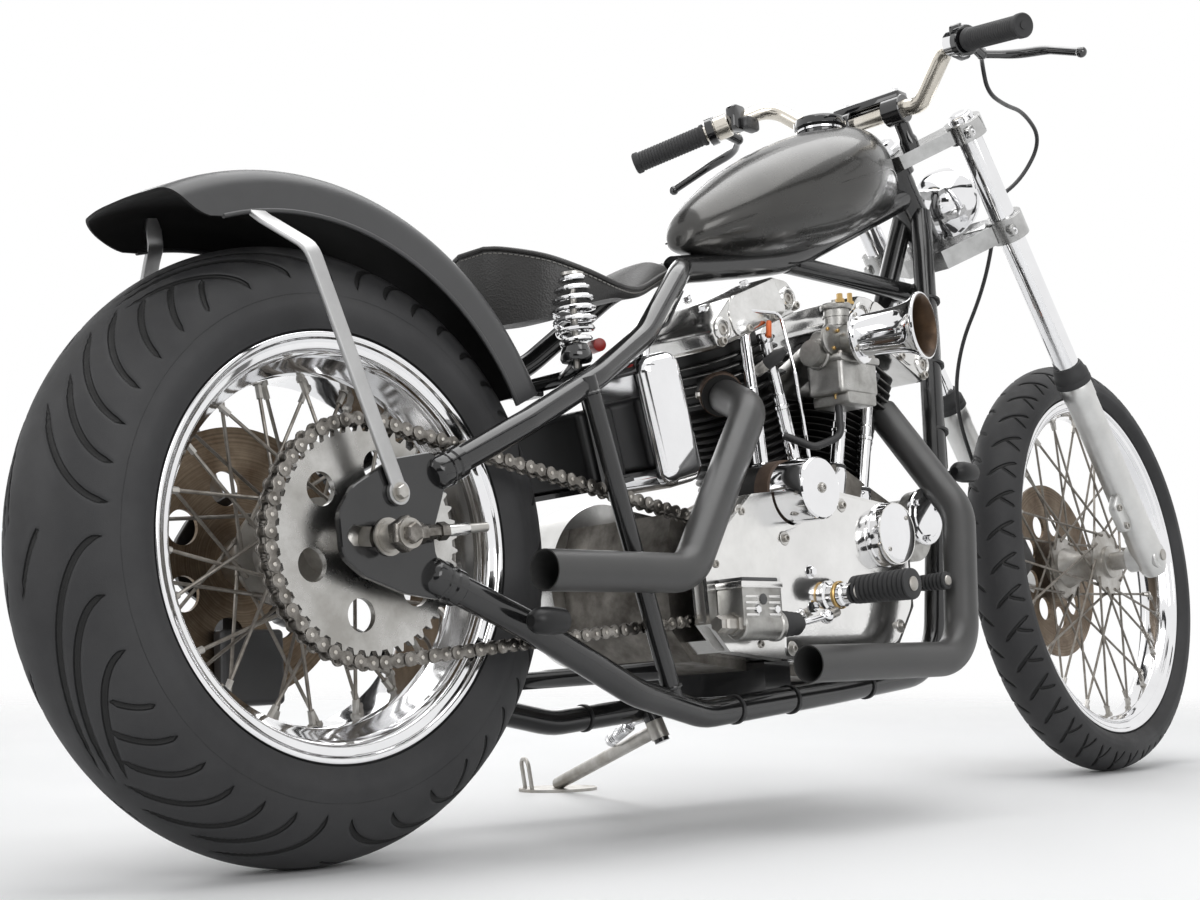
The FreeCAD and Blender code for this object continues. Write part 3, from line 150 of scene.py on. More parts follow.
def rod(a, b, r, soft=0.8, n=24):
    """Round bar with softened ends."""
    a, b = np.asarray(a, float), np.asarray(b, float)
    L = np.linalg.norm(b - a)
    soft = min(soft, r * 0.6, L * 0.3)
    profile = [(0, 0), (0, r - soft), (soft * 0.3, r - soft * 0.3), (soft, r), (L - soft, r),
               (L - soft * 0.3, r - soft * 0.3), (L, r - soft), (L, 0)]
    return lathe(profile, a, b - a, n)


def ball(centre, r, n=20):
    """Round ball: ring radius r sin t at height r cos t."""
    t = np.linspace(0, np.pi, n // 2 + 1)
    return lathe(np.stack([-r * np.cos(t), r * np.sin(t)], 1), centre, Z, n)


def bend(points, radius, step=9.0):
    """Path of straight runs joined by tangent arcs of one radius, as a tube bender leaves it."""
    p = [np.asarray(q, float) for q in points]
    out = [p[0]]
    for before, corner, after in zip(p, p[1:], p[2:]):
        back, ahead = unit(before - corner), unit(after - corner)
        half = math.acos(np.clip(back @ ahead, -1, 1)) / 2
        room = 0.45 * min(np.linalg.norm(before - corner), np.linalg.norm(after - corner))
        setback = min(radius / math.tan(half), room)
        arc = setback * math.tan(half)
        centre = corner + unit(back + ahead) * arc / math.sin(half)
        k = max(3, round(2 * (np.pi / 2 - half) / math.radians(step)))
        a, b = corner + back * setback - centre, corner + ahead * setback - centre
        sweep_angle = math.pi - 2 * half
        t = np.linspace(0, 1, k + 1)[:, None]
        out += list(centre + (np.sin((1 - t) * sweep_angle) * a + np.sin(t * sweep_angle) * b) / math.sin(sweep_angle))
    out.append(p[-1])
    return np.array(out)


def framed(path):
    """A direction square to the path at each point, carried along without twist."""
    path = np.asarray(path, float)
    t = np.gradient(path, axis=0)
    t /= np.linalg.norm(t, axis=1)[:, None]
    e = np.zeros_like(t)
    e[0] = across(t[0])[0]
    for i in range(1, len(t)):
        v = e[i - 1] - t[i] * (e[i - 1] @ t[i])
        e[i] = v / np.linalg.norm(v)
    return t, e, np.cross(t, e)


def pipe(path, radius, n=20, wide=1.0, rows=None):
    """Tube along a path; rows of (path index, radius) may turn back on themselves to make an open mouth."""
    path = np.asarray(path, float)
    t, e1, e2 = framed(path)
    if rows is None:
        r = np.broadcast_to(np.asarray(radius, float), len(path))
        rows = [(0, 0.0)] + list(enumerate(r)) + [(len(path) - 1, 0.0)]
    i = np.array([row[0] for row in rows])
    r = np.array([row[1] for row in rows], float)
    a = np.linspace(0, 2 * np.pi, n, endpoint=False)
    ring = np.cos(a)[None, :, None] * e1[i][:, None] + wide * np.sin(a)[None, :, None] * e2[i][:, None]
    return woven(path[i][:, None] + r[:, None, None] * ring)


def rounded(points, r, n=4):
    """Closed outline with each corner turned into an arc; r is one radius or one for each corner."""
    p = np.asarray(points, float)
    radii = np.broadcast_to(np.asarray(r, float), len(p))
    out = []
    for i in range(len(p)):
        back, ahead = p[i - 1] - p[i], p[(i + 1) % len(p)] - p[i]
        lb, la = np.linalg.norm(back), np.linalg.norm(ahead)
        back, ahead = back / lb, ahead / la
        half = math.acos(np.clip(back @ ahead, -1, 1)) / 2
        if half > 1.54 or radii[i] <= 0:
            out.append(p[i])
            continue
        setback = min(radii[i] / math.tan(half), 0.45 * lb, 0.45 * la)
        t = np.linspace(0, 1, n + 1)[:, None]
        a, b = p[i] + back * setback, p[i] + ahead * setback
        out += list((1 - t) ** 2 * a + 2 * t * (1 - t) * (p[i] * 0.86 + (a + b) * 0.07) + t ** 2 * b)
    return np.array(out)


def rectangle(x0, z0, x1, z1, r, n=4):
    """Outline of a rectangle between two corners, its own corners rounded to r."""
    return rounded([(x0, z0), (x1, z0), (x1, z1), (x0, z1)], r, n)


def walked(path):
    """Distance of each point of a path from its start."""
    return np.concatenate([[0], np.cumsum(np.linalg.norm(np.diff(path, axis=0), axis=1))])


def points_at(path, distances):
    """Points of a path at given distances from its start."""
    walk = walked(path)
    return np.stack([np.interp(distances, walk, column) for column in path.T], 1)


def inset(outline, d):
    """Outline moved inwards by d along its corners' bisectors."""
    p = np.asarray(outline, float)
    area = 0.5 * np.sum(p[:, 0] * np.roll(p[:, 1], -1) - p[:, 1] * np.roll(p[:, 0], -1))
    e = np.roll(p, -1, 0) - p
    e /= np.maximum(np.linalg.norm(e, axis=1), 1e-9)[:, None]
    normal = np.stack([-e[:, 1], e[:, 0]], 1) * np.sign(area)
    m = normal + np.roll(normal, 1, 0)
    m /= np.maximum(np.sum(m * m, 1) / 2, 0.35)[:, None]
    return p + m * d


def plate(outline, low, high, soft=1.5, origin=(0, 0, 0), u=X, v=Z, w=Y):
    """Prism over an outline in the u, v plane, from low to high along w, its edges rounded by soft."""
    soft = min(soft, 0.45 * abs(high - low))
    rows = [(1.0, 0.0), (0.3, 0.3), (0.0, 1.0)]
    layers = [(inset(outline, soft * a), low + soft * b) for a, b in rows]
    layers += [(inset(outline, soft * a), high - soft * b) for a, b in reversed(rows)]
    P = np.array([np.asarray(origin, float) + o[:, :1] * u + o[:, 1:] * v + h * np.asarray(w) for o, h in layers])
    return capped(P)


def block(centre, size, round_r, soft):
    """Rounded box: a rounded rectangle in X, Z carried along Y."""
    hx, hy, hz = np.asarray(size, float) / 2
    return plate(rectangle(-hx, -hz, hx, hz, round_r), -hy, hy, soft, centre)


def bolt(at, axis, r=5.0, h=5.0, sides=6, washer=True):
    """Hexagon head (sides 6) or socket cap (sides 20, with a recess), on a washer."""
    at, k = np.asarray(at, float), unit(axis)
    head = [(0, 0), (0, r), (h * 0.8, r), (h, r * 0.86), (h, 0)]
    if sides > 6:
        head = [(0, 0), (0, r), (h - 0.6, r), (h, r - 0.6), (h, r * 0.55), (h * 0.45, r * 0.5), (h * 0.45, 0)]
    parts = [lathe(head, at + k * (1.2 if washer else 0), k, sides)]
    if washer:
        parts.append(lathe([(0, 0), (0, r * 1.35), (1.2, r * 1.35), (1.2, 0)], at, k, 20))
    return parts


def bars(A, B, r, n=7):
    """Many straight bars at once: from each row of A to the same row of B."""
    A, B = np.asarray(A, float), np.asarray(B, float)
    k = (B - A) / np.linalg.norm(B - A, axis=1)[:, None]
    e1 = np.cross(k, np.where(np.abs(k[:, 1:2]) < 0.8, Y, X))
    e1 /= np.linalg.norm(e1, axis=1)[:, None]
    e2 = np.cross(k, e1)
    a = np.linspace(0, 2 * np.pi, n, endpoint=False)
    ring = r * (np.cos(a)[None, :, None] * e1[:, None] + np.sin(a)[None, :, None] * e2[:, None])
    V = np.stack([A[:, None] + ring, B[:, None] + ring], 1).reshape(-1, 3)
    j = np.arange(n)
    quad = np.stack([j, (j + 1) % n, (j + 1) % n + n, j + n], 1)
    base = np.arange(len(A)) * 2 * n
    quads = (quad[None] + base[:, None, None]).reshape(-1, 4).tolist()
    caps = [list(range(b + s, b + s + n)) for b in base.tolist() for s in (0, n)]
    return V, quads + caps


def through(stations, n):
    """Smooth rows through given stations: Catmull-Rom over each column."""
    p = np.asarray(stations, float)
    q = np.concatenate([2 * p[:1] - p[1:2], p, 2 * p[-1:] - p[-2:-1]])
    t = np.linspace(0, len(p) - 1, n)
    i = np.minimum(t.astype(int), len(p) - 2)
    f = (t - i).reshape((-1,) + (1,) * (p.ndim - 1))
    a, b, c, d = q[i], q[i + 1], q[i + 2], q[i + 3]
    return 0.5 * (2 * b + (c - a) * f + (2 * a - 5 * b + 4 * c - d) * f ** 2 + (3 * b - a - 3 * c + d) * f ** 3)


def make(name, body, parts, M=BIKE, stands_for=(), sharp=35.0, weld=True):
    """One object from parts of (shape, finish); its faces are merged, turned outwards and shaded smooth."""
    verts, faces, slots, names, base = [], [], [], [], 0
    for shape, finish in parts:
        for V, F in (shape if isinstance(shape, list) else [shape]):
            if finish not in names:
                names.append(finish)
            F = F.tolist() if isinstance(F, np.ndarray) else F
            verts.append(V)
            faces += [[i + base for i in face] for face in F]
            slots += [names.index(finish)] * len(F)
            base += len(V)
    mesh = bpy.data.meshes.new(name)
    mesh.from_pydata(carried(np.concatenate(verts), M).tolist(), [], faces)
    mesh.polygons.foreach_set("material_index", slots)
    bm = bmesh.new()
    bm.from_mesh(mesh)
    if weld:
        bmesh.ops.remove_doubles(bm, verts=bm.verts, dist=3e-6)
    bmesh.ops.recalc_face_normals(bm, faces=bm.faces)
    bm.to_mesh(mesh)
    bm.free()
    for finish in names:
        mesh.materials.append(FINISH[finish])
    mesh.shade_smooth()
    mesh.set_sharp_from_angle(angle=math.radians(sharp))
    piece = added(name, mesh)
    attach(piece, body)
    if stands_for:
        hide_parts(*stands_for)
    return piece


# Shader groups


def group(name, inputs, outputs):
    """Empty shader group with named sockets: (name, default) for floats, or a vector with no default."""
    tree = bpy.data.node_groups.new(name, "ShaderNodeTree")
    for label, default in inputs:
        kind = "NodeSocketVector" if default is None else "NodeSocketFloat"
        socket = tree.interface.new_socket(label, in_out="INPUT", socket_type=kind)
        if default is not None:
            socket.default_value = default
    for label in outputs:
        tree.interface.new_socket(label, in_out="OUTPUT", socket_type="NodeSocketFloat")
    return tree, tree.nodes.new("NodeGroupInput"), tree.nodes.new("NodeGroupOutput")


def node(tree, kind, links=None, **values):
    """A node with its settings and the sockets that feed it."""
    n = tree.nodes.new(kind)
    for key, value in values.items():
        setattr(n, key, value)
    for socket, source in (links or {}).items():
        if hasattr(source, "is_output"):
            tree.links.new(source, n.inputs[socket])
        else:
            n.inputs[socket].default_value = source
    return n


def uneven_group():
    """Soft patches: fractal noise spread from Low to High."""
    tree, given, out = group("uneven patches", [("Vector", None), ("Scale", 20.0), ("Low", 0.0), ("High", 1.0)],
                             ["Value"])
    noise = node(tree, "ShaderNodeTexNoise", {"Vector": given.outputs["Vector"], "Scale": given.outputs["Scale"],
                                              "Detail": 6.0, "Roughness": 0.62})
    ramp = node(tree, "ShaderNodeMapRange", {0: noise.outputs["Fac"], 1: 0.3, 2: 0.7, 3: given.outputs["Low"],
                                             4: given.outputs["High"]})
    tree.links.new(ramp.outputs[0], out.inputs["Value"])
    return tree


def grain_group():
    """Fine height: noise grain mixed with cell pits, both at Scale; Cells sets the share of the pits."""
    tree, given, out = group("fine grain", [("Vector", None), ("Scale", 400.0), ("Cells", 0.4)], ["Height"])
    noise = node(tree, "ShaderNodeTexNoise", {"Vector": given.outputs["Vector"], "Scale": given.outputs["Scale"],
                                              "Detail": 3.0})
    cells = node(tree, "ShaderNodeTexVoronoi", {"Vector": given.outputs["Vector"],
                                                "Scale": given.outputs["Scale"]})
    mix = node(tree, "ShaderNodeMix", {0: given.outputs["Cells"], 2: noise.outputs["Fac"],
                                       3: cells.outputs["Distance"]})
    tree.links.new(mix.outputs[0], out.inputs["Height"])
    return tree


def dust_group():
    """Dust and grime: more on upward faces, broken up by noise."""
    tree, given, out = group("settled dust", [("Vector", None), ("Amount", 0.3)], ["Mask"])
    normal = node(tree, "ShaderNodeSeparateXYZ", {0: node(tree, "ShaderNodeNewGeometry").outputs["Normal"]})
    up = node(tree, "ShaderNodeMapRange", {0: normal.outputs["Z"], 1: 0.2, 2: 1.0, 3: 0.25, 4: 1.0})
    noise = node(tree, "ShaderNodeTexNoise", {"Vector": given.outputs["Vector"], "Scale": 45.0, "Detail": 8.0,
                                              "Roughness": 0.7})
    spread = node(tree, "ShaderNodeMapRange", {0: noise.outputs["Fac"], 1: 0.42, 2: 0.75, 3: 0.0, 4: 1.0})
    a = node(tree, "ShaderNodeMath", {0: up.outputs[0], 1: spread.outputs[0]}, operation="MULTIPLY")
    b = node(tree, "ShaderNodeMath", {0: a.outputs[0], 1: given.outputs["Amount"]}, operation="MULTIPLY")
    tree.links.new(b.outputs[0], out.inputs["Mask"])
    return tree


def rings_group():
    """Turned marks: fine noise that depends only on the distance from an axis along Y."""
    tree, given, out = group("turned rings", [("Vector", None), ("Scale", 900.0)], ["Value"])
    p = node(tree, "ShaderNodeSeparateXYZ", {0: given.outputs["Vector"]})
    flat = node(tree, "ShaderNodeCombineXYZ", {0: p.outputs["X"], 2: p.outputs["Z"]})
    r = node(tree, "ShaderNodeVectorMath", {0: flat.outputs[0]}, operation="LENGTH")
    line = node(tree, "ShaderNodeCombineXYZ", {0: r.outputs["Value"]})
    noise = node(tree, "ShaderNodeTexNoise", {"Vector": line.outputs[0], "Scale": given.outputs["Scale"],
                                              "Detail": 4.0})
    tree.links.new(noise.outputs["Fac"], out.inputs["Value"])
    return tree


SICKLE_SIZES = ("Pitch", "Offset", "Start", "End", "Sweep", "Power", "Width")


def sickle_group():
    """Curved tread grooves, in millimetres: at t across the shoulder the groove lies at Sweep (1 - t)^Power."""
    tree, given, out = group("sickle grooves", [("Around and across", None)] + [(name, 1.0) for name in SICKLE_SIZES],
                             ["Mask"])

    def sums(operation, a, b=0.0, clamp=False):
        return node(tree, "ShaderNodeMath", {0: a, 1: b}, operation=operation, use_clamp=clamp).outputs[0]

    place = node(tree, "ShaderNodeSeparateXYZ", {0: given.outputs[0]})
    size = {name: given.outputs[name] for name in SICKLE_SIZES}
    y = sums("ABSOLUTE", place.outputs["Y"])
    span = sums("SUBTRACT", size["End"], size["Start"])
    t = sums("DIVIDE", sums("SUBTRACT", y, size["Start"]), span)
    left = sums("SUBTRACT", 1.0, t, True)
    line = sums("MULTIPLY", size["Sweep"], sums("POWER", left, size["Power"]))
    half_turn = sums("MULTIPLY", sums("GREATER_THAN", place.outputs["Y"], 0.0), sums("MULTIPLY", size["Pitch"], 0.5))
    shifted = sums("SUBTRACT", sums("SUBTRACT", place.outputs["X"], line), sums("ADD", size["Offset"], half_turn))
    share = sums("DIVIDE", shifted, size["Pitch"])
    away = sums("MULTIPLY", sums("ABSOLUTE", sums("SUBTRACT", share, sums("ROUND", share))), size["Pitch"])
    steep = sums("DIVIDE", sums("MULTIPLY", sums("MULTIPLY", size["Sweep"], size["Power"]),
                                sums("POWER", left, sums("SUBTRACT", size["Power"], 1.0))), span)
    square = sums("DIVIDE", away, sums("SQRT", sums("ADD", 1.0, sums("MULTIPLY", steep, steep))))
    ends = sums("MULTIPLY", sums("MINIMUM", t, sums("SUBTRACT", 1.0, t)), 9.0, True)
    cut = sums("ADD", sums("DIVIDE", sums("SUBTRACT", sums("MULTIPLY", sums("MULTIPLY", size["Width"], 0.5), ends),
                                          square), 1.3), 0.5, True)
    tree.links.new(sums("MULTIPLY", cut, sums("GREATER_THAN", ends, 0.0)), out.inputs[0])
    return tree


UNEVEN, GRAIN, DUST, RINGS, SICKLE = uneven_group(), grain_group(), dust_group(), rings_group(), sickle_group()
FINISH = {}


def placed(tree, shared, links):
    """A shared group put into a material with its own values."""
    return node(tree, "ShaderNodeGroup", links, node_tree=shared)


def finish(name, colour, second=None, rough=(0.3, 0.4), metal=0.0, patch=18.0, grain=None, cells=0.4, bump=0.15,
           dust=0.0, dust_colour=(0.35, 0.33, 0.3), coat=0.0, ring_axis=None, families=(), spec=0.5):
    """Material of one real finish: patchy colour and roughness, fine grain as bump, settled dust, and painted shade in
    tread grooves.
    """
    m = bpy.data.materials.new(name)
    m.use_nodes = True
    tree = m.node_tree
    shader = tree.nodes["Principled BSDF"]
    shader.inputs["Metallic"].default_value = metal
    shader.inputs["Specular IOR Level"].default_value = spec
    shader.inputs["Coat Weight"].default_value = coat
    shader.inputs["Coat Roughness"].default_value = 0.04
    place = node(tree, "ShaderNodeTexCoord").outputs["Object"]
    patches = placed(tree, UNEVEN, {"Vector": place, "Scale": patch, "Low": 0.0, "High": 1.0}).outputs[0]
    second = second or tuple(c * 0.72 for c in colour)
    mix = node(tree, "ShaderNodeMix", {0: patches, 6: (*colour, 1), 7: (*second, 1)}, data_type="RGBA")
    tint = mix.outputs[2]
    r = node(tree, "ShaderNodeMapRange", {0: patches, 1: 0.0, 2: 1.0, 3: rough[0], 4: rough[1]}).outputs[0]
    if ring_axis is not None:
        centred = node(tree, "ShaderNodeMapping", {"Vector": place, "Location": ring_axis[0],
                                                   "Rotation": ring_axis[1]}, vector_type="POINT")
        rings = placed(tree, RINGS, {"Vector": centred.outputs[0], "Scale": ring_axis[2]}).outputs[0]
        darker = node(tree, "ShaderNodeMapRange", {0: rings, 1: 0.35, 2: 0.65, 3: 0.55, 4: 1.0}).outputs[0]
        tint = node(tree, "ShaderNodeMix", {0: 1.0, 6: tint, 7: darker}, data_type="RGBA",
                    blend_type="MULTIPLY").outputs[2]
    if dust:
        mask = placed(tree, DUST, {"Vector": place, "Amount": dust}).outputs[0]
        tint = node(tree, "ShaderNodeMix", {0: mask, 6: tint, 7: (*dust_colour, 1)}, data_type="RGBA").outputs[2]
        r = node(tree, "ShaderNodeMath", {0: r, 1: mask}, operation="ADD", use_clamp=True).outputs[0]
    deep = None
    for family in families:
        cut = placed(tree, SICKLE, {"Around and across": node(tree, "ShaderNodeUVMap", uv_map="tread").outputs[0],
                                    **dict(zip(SICKLE_SIZES, family))}).outputs[0]
        deep = cut if deep is None else node(tree, "ShaderNodeMath", {0: deep, 1: cut}, operation="MAXIMUM").outputs[0]
    # Tread grooves: their floors are painted near black, painted shade in the recesses; the grooves' depth and bump are
    # real.
    if deep is not None:
        tint = node(tree, "ShaderNodeMix", {0: deep, 6: tint, 7: (0.005, 0.005, 0.005, 1)}, data_type="RGBA").outputs[2]
    tree.links.new(tint, shader.inputs["Base Color"])
    tree.links.new(r, shader.inputs["Roughness"])
    if grain:
        height = placed(tree, GRAIN, {"Vector": place, "Scale": grain, "Cells": cells}).outputs[0]
        bumped = node(tree, "ShaderNodeBump", {"Height": height, "Strength": bump, "Distance": 0.001})
        if deep is not None:
            bumped = node(tree, "ShaderNodeBump", {"Height": deep, "Strength": 0.9, "Distance": 0.004,
                                                   "Normal": bumped.outputs[0]}, invert=True)
        tree.links.new(bumped.outputs[0], shader.inputs["Normal"])
    FINISH[name] = m


# Each groove family: pitch round the tyre, offset, start and end across it, sweep, power and width, in millimetres
REAR_GROOVES = ((501.1, 0.0, 10, 92, 230.0, 2.0, 6.0), (501.1, 62.0, 18, 90, 180.0, 2.0, 6.0),
                (501.1, 124.0, 32, 94, 120.0, 2.0, 6.0), (501.1, 192.0, 62, 96, -26.0, 1.5, 5.5),
                (501.1, 236.0, 46, 96, -44.0, 1.6, 6.0), (501.1, 282.0, 38, 97, -58.0, 1.8, 6.0),
                (501.1, 328.0, 24, 96, -78.0, 1.9, 6.0), (501.1, 374.0, 16, 97, -92.0, 1.9, 6.0),
                (501.1, 420.0, 26, 96, -84.0, 1.9, 6.0), (501.1, 464.0, 14, 97, -96.0, 1.9, 6.0),
                (501.1, 492.0, 8, 34, 60.0, 1.3, 5.0))
FRONT_GROOVES = ((53.2, 0.0, 6, 52, 30.0, 1.4, 5.0), (53.2, 26.0, 26, 54, -12.0, 1.2, 4.5))
for name, families in (("rear_tyre_rubber", REAR_GROOVES), ("front_tyre_rubber", FRONT_GROOVES)):
    finish(name, (0.034, 0.034, 0.0355), (0.024, 0.024, 0.0255), (0.5, 0.68), grain=700, bump=0.12, dust=0.4,
           dust_colour=(0.1, 0.097, 0.092), families=families, patch=9, spec=0.4)
finish("chrome", (0.86, 0.86, 0.87), (0.8, 0.8, 0.81), (0.03, 0.09), 1.0, patch=14, dust=0.06)
finish("polished_alloy", (0.82, 0.815, 0.8), (0.7, 0.695, 0.68), (0.14, 0.26), 1.0, patch=16, grain=500, bump=0.03,
       dust=0.1)
finish("cast_alloy", (0.5, 0.495, 0.48), (0.27, 0.265, 0.25), (0.24, 0.42), 1.0, patch=34, grain=900, bump=0.25,
       dust=0.4, dust_colour=(0.14, 0.115, 0.09))
finish("gloss_black", (0.006, 0.006, 0.007), (0.009, 0.009, 0.01), (0.05, 0.09), 0.0, patch=4, coat=1.0, dust=0.02)
# Mudguard underside: its colour, much darker than satin_black on top, is painted shade under the guard; its rougher
# finish and grime are the sheet's own.
finish("guard_underside_painted_shade", (0.009, 0.009, 0.0095), (0.014, 0.0135, 0.013), (0.62, 0.78), patch=22, grain=700, bump=0.2,
       dust=0.25, dust_colour=(0.06, 0.055, 0.05), spec=0.25)
finish("tank_paint", (0.062, 0.0605, 0.0575), (0.047, 0.046, 0.044), (0.24, 0.3), 0.75, patch=5, grain=1500, bump=0.02,
       coat=0.35, dust=0.04)
finish("tube_black", (0.01, 0.01, 0.0105), (0.017, 0.017, 0.0175), (0.1, 0.2), 0.0, patch=16, coat=0.35, dust=0.16,
       dust_colour=(0.09, 0.088, 0.084), spec=0.5)
finish("satin_black", (0.046, 0.046, 0.048), (0.036, 0.036, 0.037), (0.3, 0.38), 0.0, patch=5, grain=1500, bump=0.04,
       dust=0.14, dust_colour=(0.16, 0.16, 0.16), spec=0.65)
finish("fin_black", (0.006, 0.006, 0.006), (0.012, 0.0115, 0.011), (0.35, 0.5), 0.0, patch=40, grain=800, bump=0.2,
       dust=0.15, dust_colour=(0.08, 0.065, 0.05), spec=0.35)
finish("fin_edge", (0.34, 0.335, 0.325), (0.06, 0.058, 0.055), (0.25, 0.45), 1.0, patch=60)
finish("case_grime", (0.3, 0.285, 0.26), (0.1, 0.09, 0.08), (0.36, 0.6), 1.0, patch=26, grain=700, bump=0.3, dust=0.5,
       dust_colour=(0.08, 0.065, 0.05))
finish("exhaust_black", (0.042, 0.042, 0.042), (0.056, 0.055, 0.054), (0.3, 0.42), 0.0, patch=10, grain=1100,
       bump=0.06, dust=0.12, dust_colour=(0.16, 0.15, 0.14))
finish("dull_steel", (0.5, 0.49, 0.47), (0.33, 0.31, 0.28), (0.28, 0.5), 1.0, patch=35, grain=900, bump=0.08,
       dust=0.2, dust_colour=(0.2, 0.15, 0.1))
finish("spoke_steel", (0.3, 0.285, 0.26), (0.17, 0.15, 0.13), (0.35, 0.55), 1.0, patch=60, dust=0.3,
       dust_colour=(0.16, 0.12, 0.08))
finish("oily_steel", (0.3, 0.285, 0.265), (0.09, 0.082, 0.072), (0.2, 0.42), 1.0, patch=90, dust=0.25,
       dust_colour=(0.1, 0.08, 0.06))
finish("rivet_steel", (0.62, 0.6, 0.56), (0.4, 0.37, 0.33), (0.2, 0.4), 1.0, patch=80)
finish("sprocket_steel", (0.6, 0.595, 0.58), (0.34, 0.33, 0.31), (0.16, 0.34), 1.0, patch=14, grain=600, bump=0.06,
       dust=0.2, dust_colour=(0.16, 0.13, 0.1))
finish("rocker_polish", (0.8, 0.795, 0.785), (0.62, 0.615, 0.6), (0.1, 0.22), 1.0, patch=22, grain=300, bump=0.08,
       dust=0.12, dust_colour=(0.3, 0.27, 0.22))
finish("cover_polish", (0.84, 0.835, 0.825), (0.72, 0.715, 0.705), (0.06, 0.16), 1.0, patch=10, grain=200, bump=0.05,
       dust=0.08)
finish("cover_satin", (0.66, 0.65, 0.63), (0.42, 0.41, 0.39), (0.22, 0.42), 1.0, patch=26, grain=420, bump=0.16,
       dust=0.25, dust_colour=(0.25, 0.21, 0.16))
finish("trumpet_brown", (0.085, 0.048, 0.024), (0.035, 0.02, 0.011), (0.35, 0.55), 0.6, patch=60, grain=500, bump=0.2)
finish("slider_alloy", (0.7, 0.7, 0.69), (0.56, 0.56, 0.55), (0.32, 0.42), 1.0, patch=12, grain=900, bump=0.08,
       dust=0.12)
finish("tree_alloy", (0.6, 0.6, 0.595), (0.36, 0.36, 0.355), (0.12, 0.28), 1.0, patch=20, grain=900, bump=0.05,
       dust=0.1)
finish("strut_grey", (0.5, 0.5, 0.5), (0.42, 0.42, 0.42), (0.34, 0.44), 1.0, patch=20, grain=900, bump=0.05, dust=0.1)
finish("bar_nickel", (0.74, 0.7, 0.63), (0.62, 0.58, 0.51), (0.14, 0.26), 1.0, patch=20, grain=900, bump=0.03,
       dust=0.08)
finish("lamp_glass", (0.5, 0.52, 0.53), (0.42, 0.44, 0.45), (0.05, 0.12), 0.0, patch=30, coat=1.0)
finish("brass", (0.62, 0.42, 0.17), (0.42, 0.28, 0.11), (0.25, 0.4), 1.0, patch=60)
finish("grip_rubber", (0.022, 0.022, 0.023), (0.03, 0.03, 0.031), (0.55, 0.7), grain=900, bump=0.15, dust=0.15,
       dust_colour=(0.12, 0.12, 0.12))
finish("cable_black", (0.014, 0.014, 0.015), (0.02, 0.02, 0.021), (0.35, 0.5), patch=30, dust=0.1)
finish("leather", (0.017, 0.016, 0.0155), (0.026, 0.025, 0.024), (0.36, 0.5), patch=12, grain=420, cells=0.75,
       bump=0.4, dust=0.1, dust_colour=(0.1, 0.1, 0.1))
finish("thread", (0.3, 0.29, 0.27), (0.22, 0.21, 0.2), (0.7, 0.85), patch=90, grain=2500, bump=0.3)
finish("plastic_black", (0.006, 0.006, 0.0065), (0.01, 0.01, 0.0105), (0.3, 0.45), grain=1300, bump=0.08, dust=0.12,
       dust_colour=(0.06, 0.06, 0.06), spec=0.35)
finish("orange_lead", (0.75, 0.14, 0.02), (0.55, 0.1, 0.015), (0.4, 0.5), patch=60)
finish("red_cap", (0.45, 0.02, 0.015), (0.35, 0.015, 0.01), (0.3, 0.4), patch=60)
finish("gasket_brown", (0.09, 0.055, 0.035), (0.05, 0.03, 0.02), (0.6, 0.75), patch=90)


def disc_finish(name, M):
    """Rusty disc face with turned marks about the wheel's axle, which runs along Y of the frame M."""
    centre = carried([(0, 0, 0)], M)[0]
    back = Matrix(M[:3, :3].tolist()).transposed()
    finish(name, (0.3, 0.235, 0.17), (0.15, 0.105, 0.07), (0.3, 0.45), 1.0, patch=30, dust=0.2,
           dust_colour=(0.12, 0.07, 0.035), ring_axis=(tuple(-(back @ Vector(centre))), tuple(back.to_euler()), 420.0))


disc_finish("rear_disc_steel", REAR)
disc_finish("front_disc_steel", FORK)


# Wheels


def grooves(around, across, families):
    """Depth from 0 to 1 of the sickle grooves at places in millimetres: the same rule as the rubber's shader group."""
    depth = np.zeros(np.broadcast(around, across).shape)
    for pitch, offset, start, end, sweep, power, wide in families:
        t = (np.abs(across) - start) / (end - start)
        left = np.clip(1 - t, 0, 1)
        share = (around - sweep * left ** power - offset - 0.5 * pitch * (across > 0)) / pitch
        away = np.abs(share - np.round(share)) * pitch
        steep = sweep * power * left ** (power - 1) / (end - start)
        ends = np.clip(np.minimum(t, 1 - t) * 9, 0, 1)
        depth = np.maximum(depth, np.clip((wide * ends / 2 - away / np.sqrt(1 + steep ** 2)) / 3 + 0.5, 0, 1)
                           * (ends > 0))
    return depth


